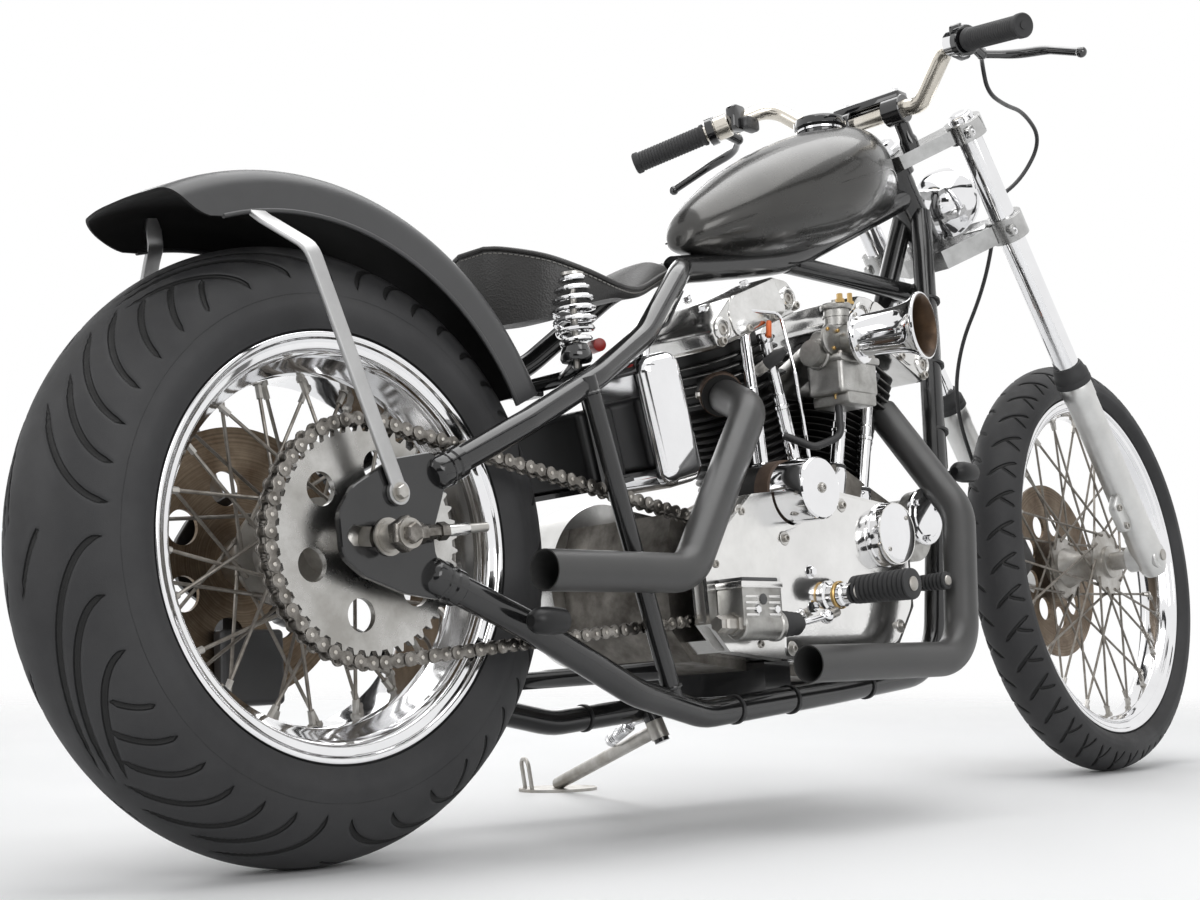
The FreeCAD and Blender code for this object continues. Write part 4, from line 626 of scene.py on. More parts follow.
def tyre(name, body, M, radius, crown, rim_half, flange_r, families, n_around, n_across):
    """Tyre as a closed ring: tread r = R - c + c cos p at y = c sin p, cut by grooves, and round side walls."""
    p = np.linspace(-1, 1, n_across) * np.pi / 2 * 0.86
    y, r = crown * np.sin(p), radius - crown + crown * np.cos(p)
    flank = np.linspace(0, 1, 12)[1:]
    side_y = y[-1] + (rim_half - y[-1]) * flank + 5.0 * np.sin(np.pi * flank) ** 1.2
    side_y += 0.8 * np.exp(-((flank - 0.32) / 0.035) ** 2) + 0.8 * np.exp(-((flank - 0.86) / 0.04) ** 2)
    side_r = r[-1] + (flange_r + 1 - r[-1]) * flank
    foot_y, foot_r = [rim_half - 5, rim_half - 6], [flange_r + 1, flange_r - 14]
    ys = np.concatenate([y, side_y, foot_y, [-v for v in foot_y[::-1]], -side_y[::-1]])
    rs = np.concatenate([r, side_r, foot_r, foot_r[::-1], side_r[::-1]])
    a = np.linspace(0, 2 * np.pi, n_around, endpoint=False)
    slope = np.concatenate([p, np.zeros(len(ys) - n_across)])
    across_mm = np.concatenate([crown * p, np.full(len(ys) - n_across, 500.0)])
    depth = grooves(a[:, None] * radius, across_mm[None], families)
    cut = 2.6 * depth
    rr, yy = rs[None] - cut * np.cos(slope), ys[None] - cut * np.sin(slope)
    P = np.stack([rr * np.cos(a)[:, None], yy, rr * np.sin(a)[:, None]], -1)
    V, Q = woven(P, True, True)
    piece = make(f"{name}_tread", body, [((V, Q), f"{name}_tyre_rubber")], M, (f"{name}_tyre",), 50, weld=False)
    uv = piece.data.uv_layers.new(name="tread")
    corner = np.zeros(len(piece.data.loops), dtype=np.int32)
    piece.data.loops.foreach_get("vertex_index", corner)
    around_index, across_index = corner // len(ys), corner % len(ys)
    quad = around_index.reshape(-1, 4)
    wraps = (quad.max(1) - quad.min(1) > n_around // 2)[:, None] & (quad == 0)
    around = np.where(wraps, n_around, quad).reshape(-1) * (2 * np.pi / n_around * radius)
    uv.data.foreach_set("uv", np.stack([around, across_mm[across_index]], 1).ravel())


def wheel(name, body, M, rim_half, flange_r, seat_r, well_r, lacing_half):
    """Rim, spokes and nipples of one wheel; the rim's outer face is a rolled lip and two steps down to the well."""
    h, f, t, w = rim_half, flange_r, seat_r, well_r
    face = [(h - 1.2, f - 0.5), (h + 0.6, f - 3), (h - 0.6, f - 7), (h - 3, f - 9), (h - 4.2, f - 12), (h - 5, t - 2),
            (h - 8.5, t - 4.6), (0.82 * h, t - 5), (0.76 * h, t - 6.5), (0.72 * h, t - 9), (0.6 * h, (t + w) / 2 - 6),
            (0.5 * h, w - 2.5), (0.42 * h, w - 4.5), (0.2 * h, w - 5)]
    back = [(0.4 * h, w), (0.66 * h, t), (h - 4.5, t), (h - 4.5, f - 2)]
    half = [*back, *face]
    section = half + [(-y, r) for y, r in half[::-1]]
    outline = rounded(section, 3, 3)
    a = np.linspace(0, 2 * np.pi, 220, endpoint=False)
    P = np.stack([outline[None, :, 1] * np.cos(a)[:, None], np.broadcast_to(outline[:, 0], (220, len(outline))),
                  outline[None, :, 1] * np.sin(a)[:, None]], -1)
    make(f"{name}_rim_chrome", body, [(woven(P, True, True), "chrome")], M, (f"{name}_rim",), 40)
    i = np.arange(40)
    flank = np.where(i % 2, 1, -1)
    lead = np.where(i % 4 < 2, 1, -1)
    a = 2 * np.pi * i / 40
    b = a + lead * math.radians(55)
    hub_r, rim_r = 47.0, well_r - 4.8
    A = np.stack([np.cos(b) * hub_r, flank * (38 - lead * 3), np.sin(b) * hub_r], 1)
    B = np.stack([np.cos(a) * rim_r, flank * lacing_half, np.sin(a) * rim_r], 1)
    k = (B - A) / np.linalg.norm(B - A, axis=1)[:, None]
    wire = bars(A, B, 2.0, 8)
    butt = bars(A - k * 2, A + k * 16, 2.7, 8)
    nipple = bars(B - k * 17, B, 3.7, 6)
    seat_ring = bars(B - k * 2.5, B + k * 2, 5.2, 10)
    return [(wire, "spoke_steel"), (butt, "spoke_steel"), (nipple, "dull_steel"), (seat_ring, "dull_steel")]


def hub_shape(right, left):
    """Hub barrel that swells to two flanges, as one lathe profile along Y from its right end to its left."""
    return lathe([(right, 11), (right, 24), (right + 2, 27), (-43, 27), (-40.5, 52), (-35.5, 52), (-33, 34), (-12, 25),
                  (12, 25), (33, 34), (35.5, 52), (40.5, 52), (43, 27), (left - 2, 27), (left, 24), (left, 11)],
                 (0, 0, 0), Y, 48), "dull_steel"


tyre("rear", "rear_wheel", REAR, 319.0, 80.0, 76.0, 219.0, REAR_GROOVES, 960, 76)
rear_lacing = wheel("rear", "rear_wheel", REAR, 76.0, 219.0, 203.0, 184.0, 14.0)
make("rear_hub_laced", "rear_wheel", rear_lacing + [hub_shape(-118.0, 110.0)], REAR, ("rear_hub",))
tyre("front", "front_wheel", FORK, 339.0, 46.0, 32.0, 281.0, FRONT_GROOVES, 960, 52)
front_lacing = wheel("front", "front_wheel", FORK, 32.0, 281.0, 267.0, 256.0, 8.0)
make("front_hub_laced", "front_wheel", front_lacing + [hub_shape(-50.0, 68.0)], FORK, ("front_hub",))


# Finishes of the CAD pieces that are shown as they are

PAINT = {
    "tube_black": ("backbone", "cradle_left", "cradle_right", "rear_stay_left", "rear_stay_right", "seat_posts",
                   "engine_mounts"),
    "dull_steel": ("rear_axle", "front_axle", "side_stand"),
    "satin_black": ("rear_caliper", "front_caliper"),
    "cast_alloy": ("carburettor", "generator"),
    "polished_alloy": ("cam_cover", "primary_cover"),
    "rear_disc_steel": ("rear_disc",),
    "front_disc_steel": ("front_disc",),
    "sprocket_steel": ("sprocket",),
    "tree_alloy": ("triple_trees",),
    "case_grime": ("crankcase",),
    "plastic_black": ("battery_box",),
    "chrome": ("oil_tank",),
}
for material, nodes in PAINT.items():
    for name in nodes:
        for place in NODES[name].material_slots:
            place.material = FINISH[material]


def copies(shape, places):
    """The same shape at many 4x4 places, worked out at once."""
    V, F = shape
    T = np.asarray(places, float)
    F = F.tolist() if isinstance(F, np.ndarray) else F
    P = np.einsum("nij,vj->nvi", T[:, :3, :3], V) + T[:, None, :3, 3]
    return P.reshape(-1, 3), [[i + k * len(V) for i in face] for k in range(len(T)) for face in F]


# Drive chain: plates, rollers and rivets round the loop of the two sprockets

CHAIN_PITCH, REAR_TEETH, DRIVE_TEETH = 15.875, 48, 21
BIG, SMALL = (CHAIN_PITCH / (2 * math.sin(math.pi / teeth)) for teeth in (REAR_TEETH, DRIVE_TEETH))
CHAIN_START, CHAIN_END = np.array([0, -112.0, REAR_Z]), np.array([545, -112.0, 302])
line = CHAIN_END - CHAIN_START
reach = np.linalg.norm(line)
tilt = math.atan2(line[2], line[0])
wrap = math.asin((BIG - SMALL) / reach)
run = reach * math.cos(wrap)
top = math.pi / 2 - wrap
total = 2 * run + 2 * top * SMALL + (2 * math.pi - 2 * top) * BIG
LINKS = 2 * round(total / CHAIN_PITCH / 2)


def chain_pin(lengths):
    """Points of the loop: two straight runs and two arcs, by length from the start of the upper run."""
    s = np.mod(lengths, total)[:, None]

    def arm(angle):
        return np.concatenate([np.cos(angle), 0 * angle, np.sin(angle)], 1)

    small_arc = 2 * top * SMALL
    one = CHAIN_START + arm(tilt + top + 0 * s) * BIG + arm(tilt - wrap + 0 * s) * s
    two = CHAIN_END + arm(tilt + top - (s - run) / SMALL) * SMALL
    three = CHAIN_END + arm(tilt - top + 0 * s) * SMALL + arm(tilt + wrap + math.pi + 0 * s) * (s - run - small_arc)
    four = CHAIN_START + arm(tilt - top - (s - 2 * run - small_arc) / BIG) * BIG
    return np.where(s < run, one, np.where(s < run + small_arc, two, np.where(s < 2 * run + small_arc, three, four)))


def link_plate(low, high):
    """Plate of one link: two rounds of 7.4 joined by a waist, from low to high across."""
    a = np.linspace(0.62, 2 * np.pi - 0.62, 12)
    right = np.stack([CHAIN_PITCH - 7.4 * np.cos(a), -7.4 * np.sin(a)], 1)
    left = np.stack([7.4 * np.cos(a), 7.4 * np.sin(a)], 1)
    return plate(np.concatenate([left, right]), low, high, 0.6)


pins = chain_pin(np.arange(LINKS) * total / LINKS)
heading = np.roll(pins, -1, 0) - pins
heading /= np.linalg.norm(heading, axis=1)[:, None]
places = np.tile(np.eye(4), (LINKS, 1, 1))
places[:, :3, 0], places[:, :3, 1], places[:, :3, 3] = heading, Y, pins
places[:, :3, 2] = np.cross(heading, Y)
outer, inner = places[1::2], places[0::2]
chain_parts = []
for side in (1, -1):
    for near, far, which in ((6.9, 8.7, outer), (4.9, 6.7, inner)):
        chain_parts.append((copies(link_plate(*sorted((side * near, side * far))), which), "oily_steel"))
chain_parts.append((copies(rod((0, -9.6, 0), (0, 9.6, 0), 2.3, 0.5, 10), places), "rivet_steel"))
chain_parts.append((copies(rod((0, -4.8, 0), (0, 4.8, 0), 4.9, 0.4, 12), places), "oily_steel"))
make("chain_links", "chassis", chain_parts, BIKE, ("drive_chain",))

# Rear mudguard, tank and saddle

# The mudguard's arc in millimetres and degrees: middle, lip radius, front edge, and the tail's end, corners and skew
GUARD_MIDDLE, GUARD_LIP, GUARD_FRONT = np.array([-39.7, 0, 347.7]), 306.7, 26
TAIL_END, TAIL_CUT, TAIL_SKEW = 118.8, 10.5, 1.8


def fender_sheet():
    """Mudguard: a rolled section (y, r) carried through an arc; its tail is cut back by 1 - (1 - s^2.2)^(1/2.2)."""
    outer_line = rounded([(-93, GUARD_LIP), (-93, 350.6), (-30, 355.6), (30, 355.6), (93, 350.6), (93, GUARD_LIP)],
                         [0, 33, 400, 400, 33, 0], 9)
    inner_line = rounded([(-90, GUARD_LIP), (-90, 347.6), (-30, 352.6), (30, 352.6), (90, 347.6), (90, GUARD_LIP)],
                         [0, 30, 400, 400, 30, 0], 9)[::-1]
    n, m = 90, 75
    ring = np.concatenate([points_at(line, np.linspace(0, walked(line)[-1], m)) for line in (outer_line, inner_line)])
    u = np.linspace(0, 1, n)[:, None]
    share = np.linspace(-1, 1, m)
    share = np.concatenate([share, share[::-1]])
    cut = TAIL_SKEW * share + TAIL_CUT * (1 - (1 - np.clip(np.abs(share), 0, 0.9999) ** 2.2) ** (1 / 2.2))
    angle = np.radians(GUARD_FRONT + u * (TAIL_END - cut[None] - GUARD_FRONT))
    P = np.stack([ring[:, 1] * np.cos(angle), np.broadcast_to(ring[:, 0], angle.shape), ring[:, 1] * np.sin(angle)],
                 -1) + GUARD_MIDDLE
    V, Q = woven(P)
    back = 2 * m - 1
    caps = [[row + j, row + j + 1, row + back - j - 1, row + back - j] for row in (0, (n - 1) * 2 * m)
            for j in range(m - 1)]
    column = Q[:, 0] % (2 * m)
    outside = column < m - 1
    beads = []
    for side in (1, -1):
        end = TAIL_END - TAIL_SKEW * side - TAIL_CUT
        a = np.radians(GUARD_FRONT + np.linspace(0, 1, 70) * (end - GUARD_FRONT))
        edge = np.stack([GUARD_LIP * np.cos(a), np.full(70, side * 91.5), GUARD_LIP * np.sin(a)], 1) + GUARD_MIDDLE
        beads.append(pipe(edge, 2.6, 10))
    # The underside and the cut ends take the darker underside finish: painted shade under the guard.
    return [((V, Q[outside]), "satin_black"), ((V, Q[~outside].tolist() + caps), "guard_underside_painted_shade"),
            (beads, "satin_black")]


make("rear_mudguard", "chassis", fender_sheet(), BIKE, ("rear_fender",), 50)


def tank_skin():
    """Peanut tank: rows y = w |cos t|^0.96 (signed), z = mid + h sin t, drawn smoothly through stations."""
    stations = [(633.5, 6, 757, 749), (635.5, 18, 769, 742), (641, 29, 782, 738), (654, 41, 799, 736),
                (690, 60, 829, 736), (760, 88, 877, 743), (850, 106, 925, 762), (940, 110, 960, 787),
                (1030, 76, 977, 826), (1090, 43, 940, 854), (1115, 21, 904, 868), (1122, 6, 890, 878)]
    rows = through(stations, 90)
    t = np.linspace(0, 2 * np.pi, 72, endpoint=False)
    w, high, low = rows[:, 1:2], rows[:, 2:3], rows[:, 3:4]
    mid, h = (high + low) / 2, (high - low) / 2
    c = np.cos(t)[None]
    y = w * np.sign(c) * np.abs(c) ** 0.96
    z = mid + h * np.sin(t)[None]
    return capped(np.stack([np.broadcast_to(rows[:, :1], y.shape), y, z], -1))


tank_parts = [(tank_skin(), "tank_paint")]
seam = through([(641, 29.6, 754), (690, 60.4, 774), (760, 81.4, 803), (850, 104.4, 839), (940, 110.4, 871),
                (1030, 76.4, 900), (1090, 43.4, 896), (1115, 21.4, 886)], 60)
for side in (1, -1):
    tank_parts.append((pipe(seam * (1, side, 1), 1.2, 8), "tank_paint"))
make("fuel_tank_shell", "chassis", tank_parts, BIKE, ("fuel_tank",))
make("filler_cap", "chassis", [
    (lathe([(-8, 0), (-8, 33), (5, 33), (7, 35), (8, 36.5), (9.5, 38), (19, 38), (21.4, 36.6), (22.6, 33), (22.9, 20),
            (22.9, 0)], (966, 0, 960), Z, 64), "gloss_black"),
    (lathe([(0, 34.4), (0, 35.2), (3, 35.2), (3, 34.4)], (966, 0, 963), Z, 48), "chrome")], BIKE, ("fuel_cap",))

SEAT = [(262, 22, 680, 588, -2), (272, 46, 676, 587, -8), (300, 84, 664, 592, -16), (340, 108, 648, 607, -18),
        (385, 114, 636, 620, -12), (430, 97, 640, 628, -2), (490, 62, 658, 646, 22), (545, 38, 682, 670, 24),
        (580, 24, 697, 684, 12), (594, 10, 701, 692, 4)]


def seat_skin():
    """Saddle: rows of a dished top that swells to a welted rim, over a skirt that tucks under."""
    rows = through(SEAT, 80)
    x, half, rim, low, crest = rows.T
    t = np.linspace(-1, 1, 41)
    top_y = half[:, None] * t * 0.985
    bulge = np.clip(1 - np.abs(t) ** 3.2, 0, 1)
    roll = 5.0 * np.exp(-((np.abs(t) - 0.86) / 0.1) ** 2) * np.clip(half[:, None] / 80, 0, 1)
    top_z = rim[:, None] + crest[:, None] * bulge + roll * (crest[:, None] < 5) - 1.5 * (np.abs(t) > 0.985)
    f = np.linspace(0, 1, 9)[1:]
    skirt_y = half[:, None] * (0.985 + 0.015 * np.sin(f * np.pi) - 0.075 * f ** 1.5)
    skirt_z = rim[:, None] + (low - rim)[:, None] * f
    b = np.linspace(1, -1, 15)[1:-1]
    under_y = half[:, None] * 0.91 * b
    under_z = low[:, None] + 3 * (1 - b ** 2)
    y = np.concatenate([top_y, skirt_y, under_y, -skirt_y[:, ::-1]], 1)
    z = np.concatenate([top_z, skirt_z, under_z, skirt_z[:, ::-1]], 1)
    return capped(np.stack([np.broadcast_to(x[:, None], y.shape), y, z], -1))


def welt(offset, drop, n=150):
    """Line round the saddle's rim, out from it and down by small amounts."""
    rows = through(SEAT, n)
    side = np.stack([rows[:, 0], rows[:, 1] + offset, rows[:, 2] - drop], 1)
    return np.concatenate([side, (side * (1, -1, 1))[::-1], side[:1]])


rim_line = welt(-0.6, 1.0)
saddle = make("saddle", "chassis", [(seat_skin(), "leather"), (pipe(rim_line, 3.0, 10), "leather")], BIKE, ("seat",))


def stitches(path, pitch=6.5, long=4.2, radius=0.75):
    """Short thread stitches along a path, one each pitch."""
    at = np.arange(pitch / 2, walked(path)[-1] - pitch, pitch)
    return bars(points_at(path, at), points_at(path, at + long), radius, 5)


make("saddle_stitching", "chassis", [(stitches(welt(-5.5, -0.4)), "thread"), (stitches(welt(0.2, 6.5)), "thread")])


def coil(x, y):
    """Barrel spring: a wire of radius 3.1 wound 7 turns about a round that swells in the middle."""
    t = np.linspace(0, 1, 300)
    r = 12.5 + 10.5 * np.sin(np.pi * t) ** 0.8
    a = 2 * np.pi * 7 * t
    wind = np.stack([x + r * np.cos(a), y + r * np.sin(a), 556 + 84 * t], 1)
    foot = lathe([(0, 0), (0, 17), (3, 18.5), (9, 18.5), (12, 17.5), (20, 14), (20, 0)], (x, y, 539.5), Z, 36)
    crown = lathe([(0, 0), (0, 13), (1.5, 15), (5, 15), (6, 13), (6, 0)], (x, y, 638), Z, 30)
    stud = rod((x, y, 531), (x, y, 648), 4)
    inward = -12.0 if y > 0 else 12.0
    strap = plate(rectangle(-14, -7, 14, 7, 5), -2, 2, 1, (x, y + inward, 646),
                  Y * (1.0 if y > 0 else -1.0), X, Z)
    arm = rod((352, y + inward * 4, 530), (x, y, 536), 7)
    return [(pipe(wind, 3.1, 10), "chrome"), (foot, "gloss_black"), (crown, "dull_steel"), (stud, "dull_steel"),
            (strap, "tube_black"), (arm, "tube_black")]


make("saddle_springs", "chassis", coil(328, 96) + coil(328, -96), BIKE, ("seat_springs",))

# Engine: barrels, heads, rocker boxes and pushrod tubes


def bank_frame(side):
    """Directions of one cylinder: along its axis and across it in the frame's middle plane."""
    t = math.radians(side * 22.5)
    return np.array([math.sin(t), 0, math.cos(t)]), np.array([math.cos(t), 0, -math.sin(t)])


def bank(side, along, wide=0.0, y=0.0):
    """Point of one cylinder by distances along its axis, across it and to the left."""
    k, e = bank_frame(side)
    return np.array([816, y, 285]) + along * k + wide * e


def chamfered(x, y, c):
    """Rectangle of half sizes x, y with corners cut by c and rounded."""
    return rounded([(-x, -y + c), (-x + c, -y), (x - c, -y), (x, -y + c), (x, y - c), (x - c, y), (-x + c, y),
                    (-x, y - c)], 8, 3)


engine = []
BASE = (816, 0, 285)
for side in (1, -1):
    k, e = bank_frame(side)
    root = bank(side, 0)
    profile = [(156, 0), (156, 60)]
    for along in np.arange(164, 281, 10):
        profile += [(along - 1, 58), (along - 0.6, 61), (along - 0.2, 71.5), (along + 0.4, 73.6), (along + 1.4, 73.9),
                    (along + 2.3, 73.2), (along + 2.9, 70), (along + 3.6, 60), (along + 4.4, 58)]
    profile += [(285, 62), (285.7, 0)]
    engine.append((lathe(profile, root, k, 56), "fin_black"))
    engine.append((lathe([(286, 0), (286, 64), (361, 64), (361.7, 60), (361.7, 0)], root, k, 40), "fin_black"))
    for row in range(5):
        along = 291 + row * 12.5
        engine.append((plate(chamfered(70, 76, 26), along, along + 4.2, 1.4, root, e, Y, k), "fin_black"))
        engine.append((plate(chamfered(70.4, 76.4, 26), along + 1.7, along + 2.5, 0.2, root, e, Y, k), "fin_edge"))
    inlet = bank(side, 312, side * 30, -10)
    outlet = bank(side, 300, 53 if side > 0 else -76, -58)
    out_k = unit(outlet - inlet)
    port = np.linalg.norm(outlet - inlet)
    engine.append((lathe([(0, 0), (0, 26), (port, 27), (port, 0)], inlet, out_k, 36), "fin_black"))
    engine.append((lathe([(-16, 26), (-15, 28.6), (-4, 28.6), (-3, 26)], outlet, out_k, 40),
                   "dull_steel" if side > 0 else "gasket_brown"))
    engine += [(bolt(outlet - out_k * 9 + np.cross(out_k, Z) * 27, np.cross(out_k, Z), 5, 7), "dull_steel")]
make("finned_cylinders", "chassis", engine, BIKE, ("cylinders", "cylinder_heads"), 30)

boxes = []
for side in (1, -1):
    k, e = bank_frame(side)
    outline = [(-side * wide, along) for along, wide in ((362, -98), (362, 86), (382, 92), (406, 84), (418, 58),
                                                         (418, -46), (394, -100))]
    soft = rounded(outline, [10, 10, 14, 16, 20, 30, 14], 6)
    boxes.append((plate(soft, -94, 70, 7, BASE, e, k, Y), "rocker_polish"))
    crown = [(-side * wide, along) for along, wide in ((366, -60), (366, 60), (417, 52), (417.6, -42), (400, -60))]
    boxes.append((plate(rounded(crown, 12, 5), -97.4, -90, 3, BASE, e, k, Y), "rocker_polish"))
    for wide in (-80, 70):
        flank = -side * wide if side > 0 else wide
        seat_at = bank(side, 384, flank, -94)
        boxes.append((lathe([(0, 0), (0, 15.5), (1.6, 15.5), (3.4, 13.6), (3.9, 11.2), (2.4, 10.2), (-2, 9.8), (-2, 0)],
                            seat_at, -Y, 30), "rocker_polish"))
        boxes += [(bolt(seat_at + Y * 1.6, -Y, 7.2, 3.6, 20, False), "dull_steel")]
    for wide, along in ((-88, 370), (-30, 370), (28, 370), (80, 371)):
        boxes += [(bolt(bank(side, along, -side * wide, -93.6), -Y, 5.2, 5.0, 20), "dull_steel")]
    for wide, y in ((-60, -60), (-60, 40), (36, -60), (36, 40)):
        boxes += [(bolt(bank(side, 417.4 if abs(wide) < 50 else 410, -side * wide, y), k, 6, 6), "chrome")]
make("rocker_covers", "chassis", boxes, BIKE, ("rocker_boxes",), 30)

tubes = []
for foot, head in (((668, -84, 436), (646, -86, 632)), ((737, -84, 447), (689, -86, 617)),
                   ((826, -84, 445), (853, -86, 568)), ((879, -84, 416), (918, -86, 590))):
    foot, head = np.array(foot, float), np.array(head, float)
    L = np.linalg.norm(head - foot)
    tubes.append((lathe([(-44, 0), (-44, 13), (-42, 14.6), (-6, 14.6), (-2, 13.5), (2, 12.4), (7, 12.4), (9, 9.4),
                         (L * 0.42, 9.4), (L * 0.42 + 1, 10.6), (L * 0.45, 10.6), (L * 0.45 + 1.5, 8.6),
                         (L * 0.53, 8.6), (L * 0.53 + 2, 7.4), (L - 14, 7.4), (L - 13, 9.4), (L - 9, 10.8),
                         (L - 2, 10.8), (L, 9), (L, 0)], foot, head - foot, 26), "chrome"))
    tubes.append((lathe([(1.5, 12.6), (2.5, 13.2), (5.5, 13.2), (6.5, 12.6)], foot, head - foot, 26), "grip_rubber"))
    clip = across(head - foot)[0]
    middle = foot + (head - foot) * 0.5
    tubes.append((rod(middle - (head - foot) * 0.06 - Y * 9.4, middle + (head - foot) * 0.3 - Y * 8.2, 0.9, 0.3, 6),
                  "chrome"))
    tubes.append((plate(rectangle(-17, -10, 17, 10, 6), -46, -40, 1.5, foot, X, Y,
                        unit(head - foot)), "cast_alloy"))
make("pushrod_covers", "chassis", tubes, BIKE, ("pushrod_tubes",), 30)

# Induction: trumpet and the carburettor's small parts

AIM = np.array([math.sin(math.radians(12)), -math.cos(math.radians(12)), 0])
ROOT = np.array([770, -177.3, 604])
horn = [(0, 20), (0, 36), (0.8, 36.4), (4.2, 36.4), (5, 35.6), (5, 28), (8, 27.2), (35, 28.6), (58, 30.6), (68, 33),
        (78, 37), (84, 41.4), (86.4, 43.2), (88.6, 43.7), (90.2, 42.9), (90.8, 41)]
throat = [(90.8, 41), (90.2, 38.4), (87.6, 36.2), (82, 34.6), (76, 32.4), (66, 30), (40, 27), (0, 24), (0, 20)]
make("velocity_trumpet", "chassis", [(lathe(horn, ROOT, AIM, 64), "chrome"), (lathe(throat, ROOT, AIM, 64),
                                                                             "trumpet_brown")], BIKE,
     ("velocity_stack",), 30)
carb = []
for angle in (0.7, 2.3, 3.9, 5.5):
    e1, e2 = across(AIM)
    carb += [(bolt(ROOT + AIM * 5 + 32 * (math.cos(angle) * e1 + math.sin(angle) * e2), AIM, 3, 3, 20, False),
              "dull_steel")]
carb += [
    (plate(rectangle(-43, -8, 43, 2, 4), -173, -111, 2, (776, 0, 579)), "cast_alloy"),
    (plate(rectangle(-30, -8, 30, 8, 4), -172, -114, 2, (776, 0, 524)), "cast_alloy"),
    (lathe([(0, 0), (0, 10), (8, 10), (9, 9), (9, 0)], (776, -140, 531), -Z, 6), "brass"),
    (lathe([(0, 0), (0, 7), (10, 7), (10, 4), (16, 4), (16, 0)], (752, -150, 534), -Z, 6), "brass"),
    (lathe([(0, 0), (0, 20), (2, 21), (6, 21), (8, 19), (9, 6), (14, 5.4), (14, 0)], (776, -140, 646), Z, 40),
     "cast_alloy"),
    (lathe([(0, 0), (0, 6), (5, 6), (5, 4), (12, 4), (12, 0)], (764, -156, 652), Z, 6), "brass"),
    (lathe([(0, 0), (0, 5), (4, 5), (4, 3.4), (15, 3.4), (15, 0)], (792, -152, 654), Z, 6), "brass"),
    (lathe([(0, 0), (0, 19), (1, 20.4), (5, 20.4), (7, 18.5), (7.6, 8), (5, 7), (5, 0)], (737, -136, 584), -X, 36),
     "cast_alloy"),
    (lathe([(0, 0), (0, 20), (4, 20), (5, 18), (5, 0)], (737, -155, 600), -Y, 32), "cast_alloy"),
    (pipe(bend([(812, -140, 566), (826, -140, 566), (826, -128, 620), (816, -118, 640)], 8), 2.0, 8), "dull_steel"),
]
for x in (741, 811):
    for y in (-167, -119):
        carb += [(bolt((x, y, 581), Z, 3.4, 3, 20, False), "dull_steel")]
for x, z in ((748, 612), (726, 612), (737, 588)):
    carb += [(bolt((x, -160, z), -Y, 2.6, 2.4, 20, False), "brass")]
for z in (612, 624, 636):
    carb.append((lathe([(0, 17), (0, 18.6), (3, 18.6), (3, 17)], (776, -140, z), Z, 36), "cast_alloy"))
make("carburettor_fittings", "chassis", carb, BIKE, (), 30)
fuel_path = bend([(752, -150, 520), (752, -150, 476), (718, -132, 462), (696, -101, 480)], 16)
fuel_hose = make("fuel_hose", "chassis", [(pipe(fuel_path, 5, 12), "cable_black")])
make("breather_pipe", "chassis", [
    (pipe(bend([(640, -92, 640), (700, -106, 640), (716, -112, 560), (748, -100, 452)], 14), 2.4, 8), "chrome")])
plugs = []
for at, towards in (((664, -99, 566), (0.15, -1, 0.5)), ((872, -99, 552), (-0.15, -1, 0.5))):
    at, k = np.array(at, float), unit(towards)
    plugs += [(rod(at + k * -10, at + k * 10, 7.5), "dull_steel"),
              (lathe([(8, 0), (8, 8.6), (28, 8.6), (34, 6), (40, 4.4), (40, 0)], at, k, 20), "cable_black")]
plugs.append((rod((676, -104, 606), (682, -101, 628), 3.6), "orange_lead"))
make("spark_plug_caps", "chassis", plugs)

# Lower engine: starter, covers and their fastenings

STARTER, CAM_Y = (641, 0, 398), -150.6
low = [
    (lathe([(60, 0), (60, 34), (64, 38.2), (123, 38.2), (124, 36), (124, 0)], STARTER, -Y, 48), "fin_black"),
    (lathe([(122.5, 38), (123, 41), (126, 41.4), (141, 41.4), (144, 41), (144.5, 38)], STARTER, -Y, 48),
     "gasket_brown"),
    (lathe([(143, 0), (143, 38.6), (145, 39), (190, 39), (193, 38.4), (195, 36.6), (195.9, 33), (196, 0)],
           STARTER, -Y, 64), "chrome"),
    (bolt((641, -195.6, 398), -Y, 5, 3.4, 20), "dull_steel"),
]
make("starter_case", "chassis", low, BIKE, ("starter_motor",), 30)
front_cover = [(600, 192.2), (640, 189.6), (770, 181.4), (846.6, 209.4), (884.6, 257.6), (884.6, 330.4), (846.4, 392.6),
               (724, 405.6), (686, 372), (612, 352), (600, 330)]
covers = [
    (plate(rounded(front_cover, [10, 40, 50, 30, 30, 30, 30, 16, 20, 16, 10], 7), -150.9, -128, 7),
     "cover_polish"),
    (plate(rounded([(469.4, 236), (501.6, 203.4), (604, 192.6), (604, 352), (590, 356), (575, 391), (560, 392.6),
                    (513.6, 354.4), (465.4, 312)], [16, 20, 1, 1, 10, 10, 14, 14, 20], 5), -147, -128, 4),
     "cover_satin"),
    (lathe([(149, 0), (149, 43), (153, 42.4), (155, 40.8), (167, 40.6), (169.4, 39.6), (170.8, 37), (171, 20),
            (171, 0)], (832, 0, 351), -Y, 64), "chrome"),
    (lathe([(127.8, 0), (127.8, 38), (129, 39), (133, 39), (134.6, 37.6), (135, 30), (136.4, 28), (136.4, 0)],
           (956, 0, 382), -Y, 48), "chrome"),
]
for x, z in ((853, 372), (811, 330)):
    covers += [(bolt((x, -170.8, z), -Y, 3, 1.6, 20, False), "dull_steel")]
for a in (0.4, 2.5, 4.6):
    covers += [(bolt((956 + 30 * math.cos(a), -135, 382 + 30 * math.sin(a)), -Y, 4.5, 5), "chrome")]
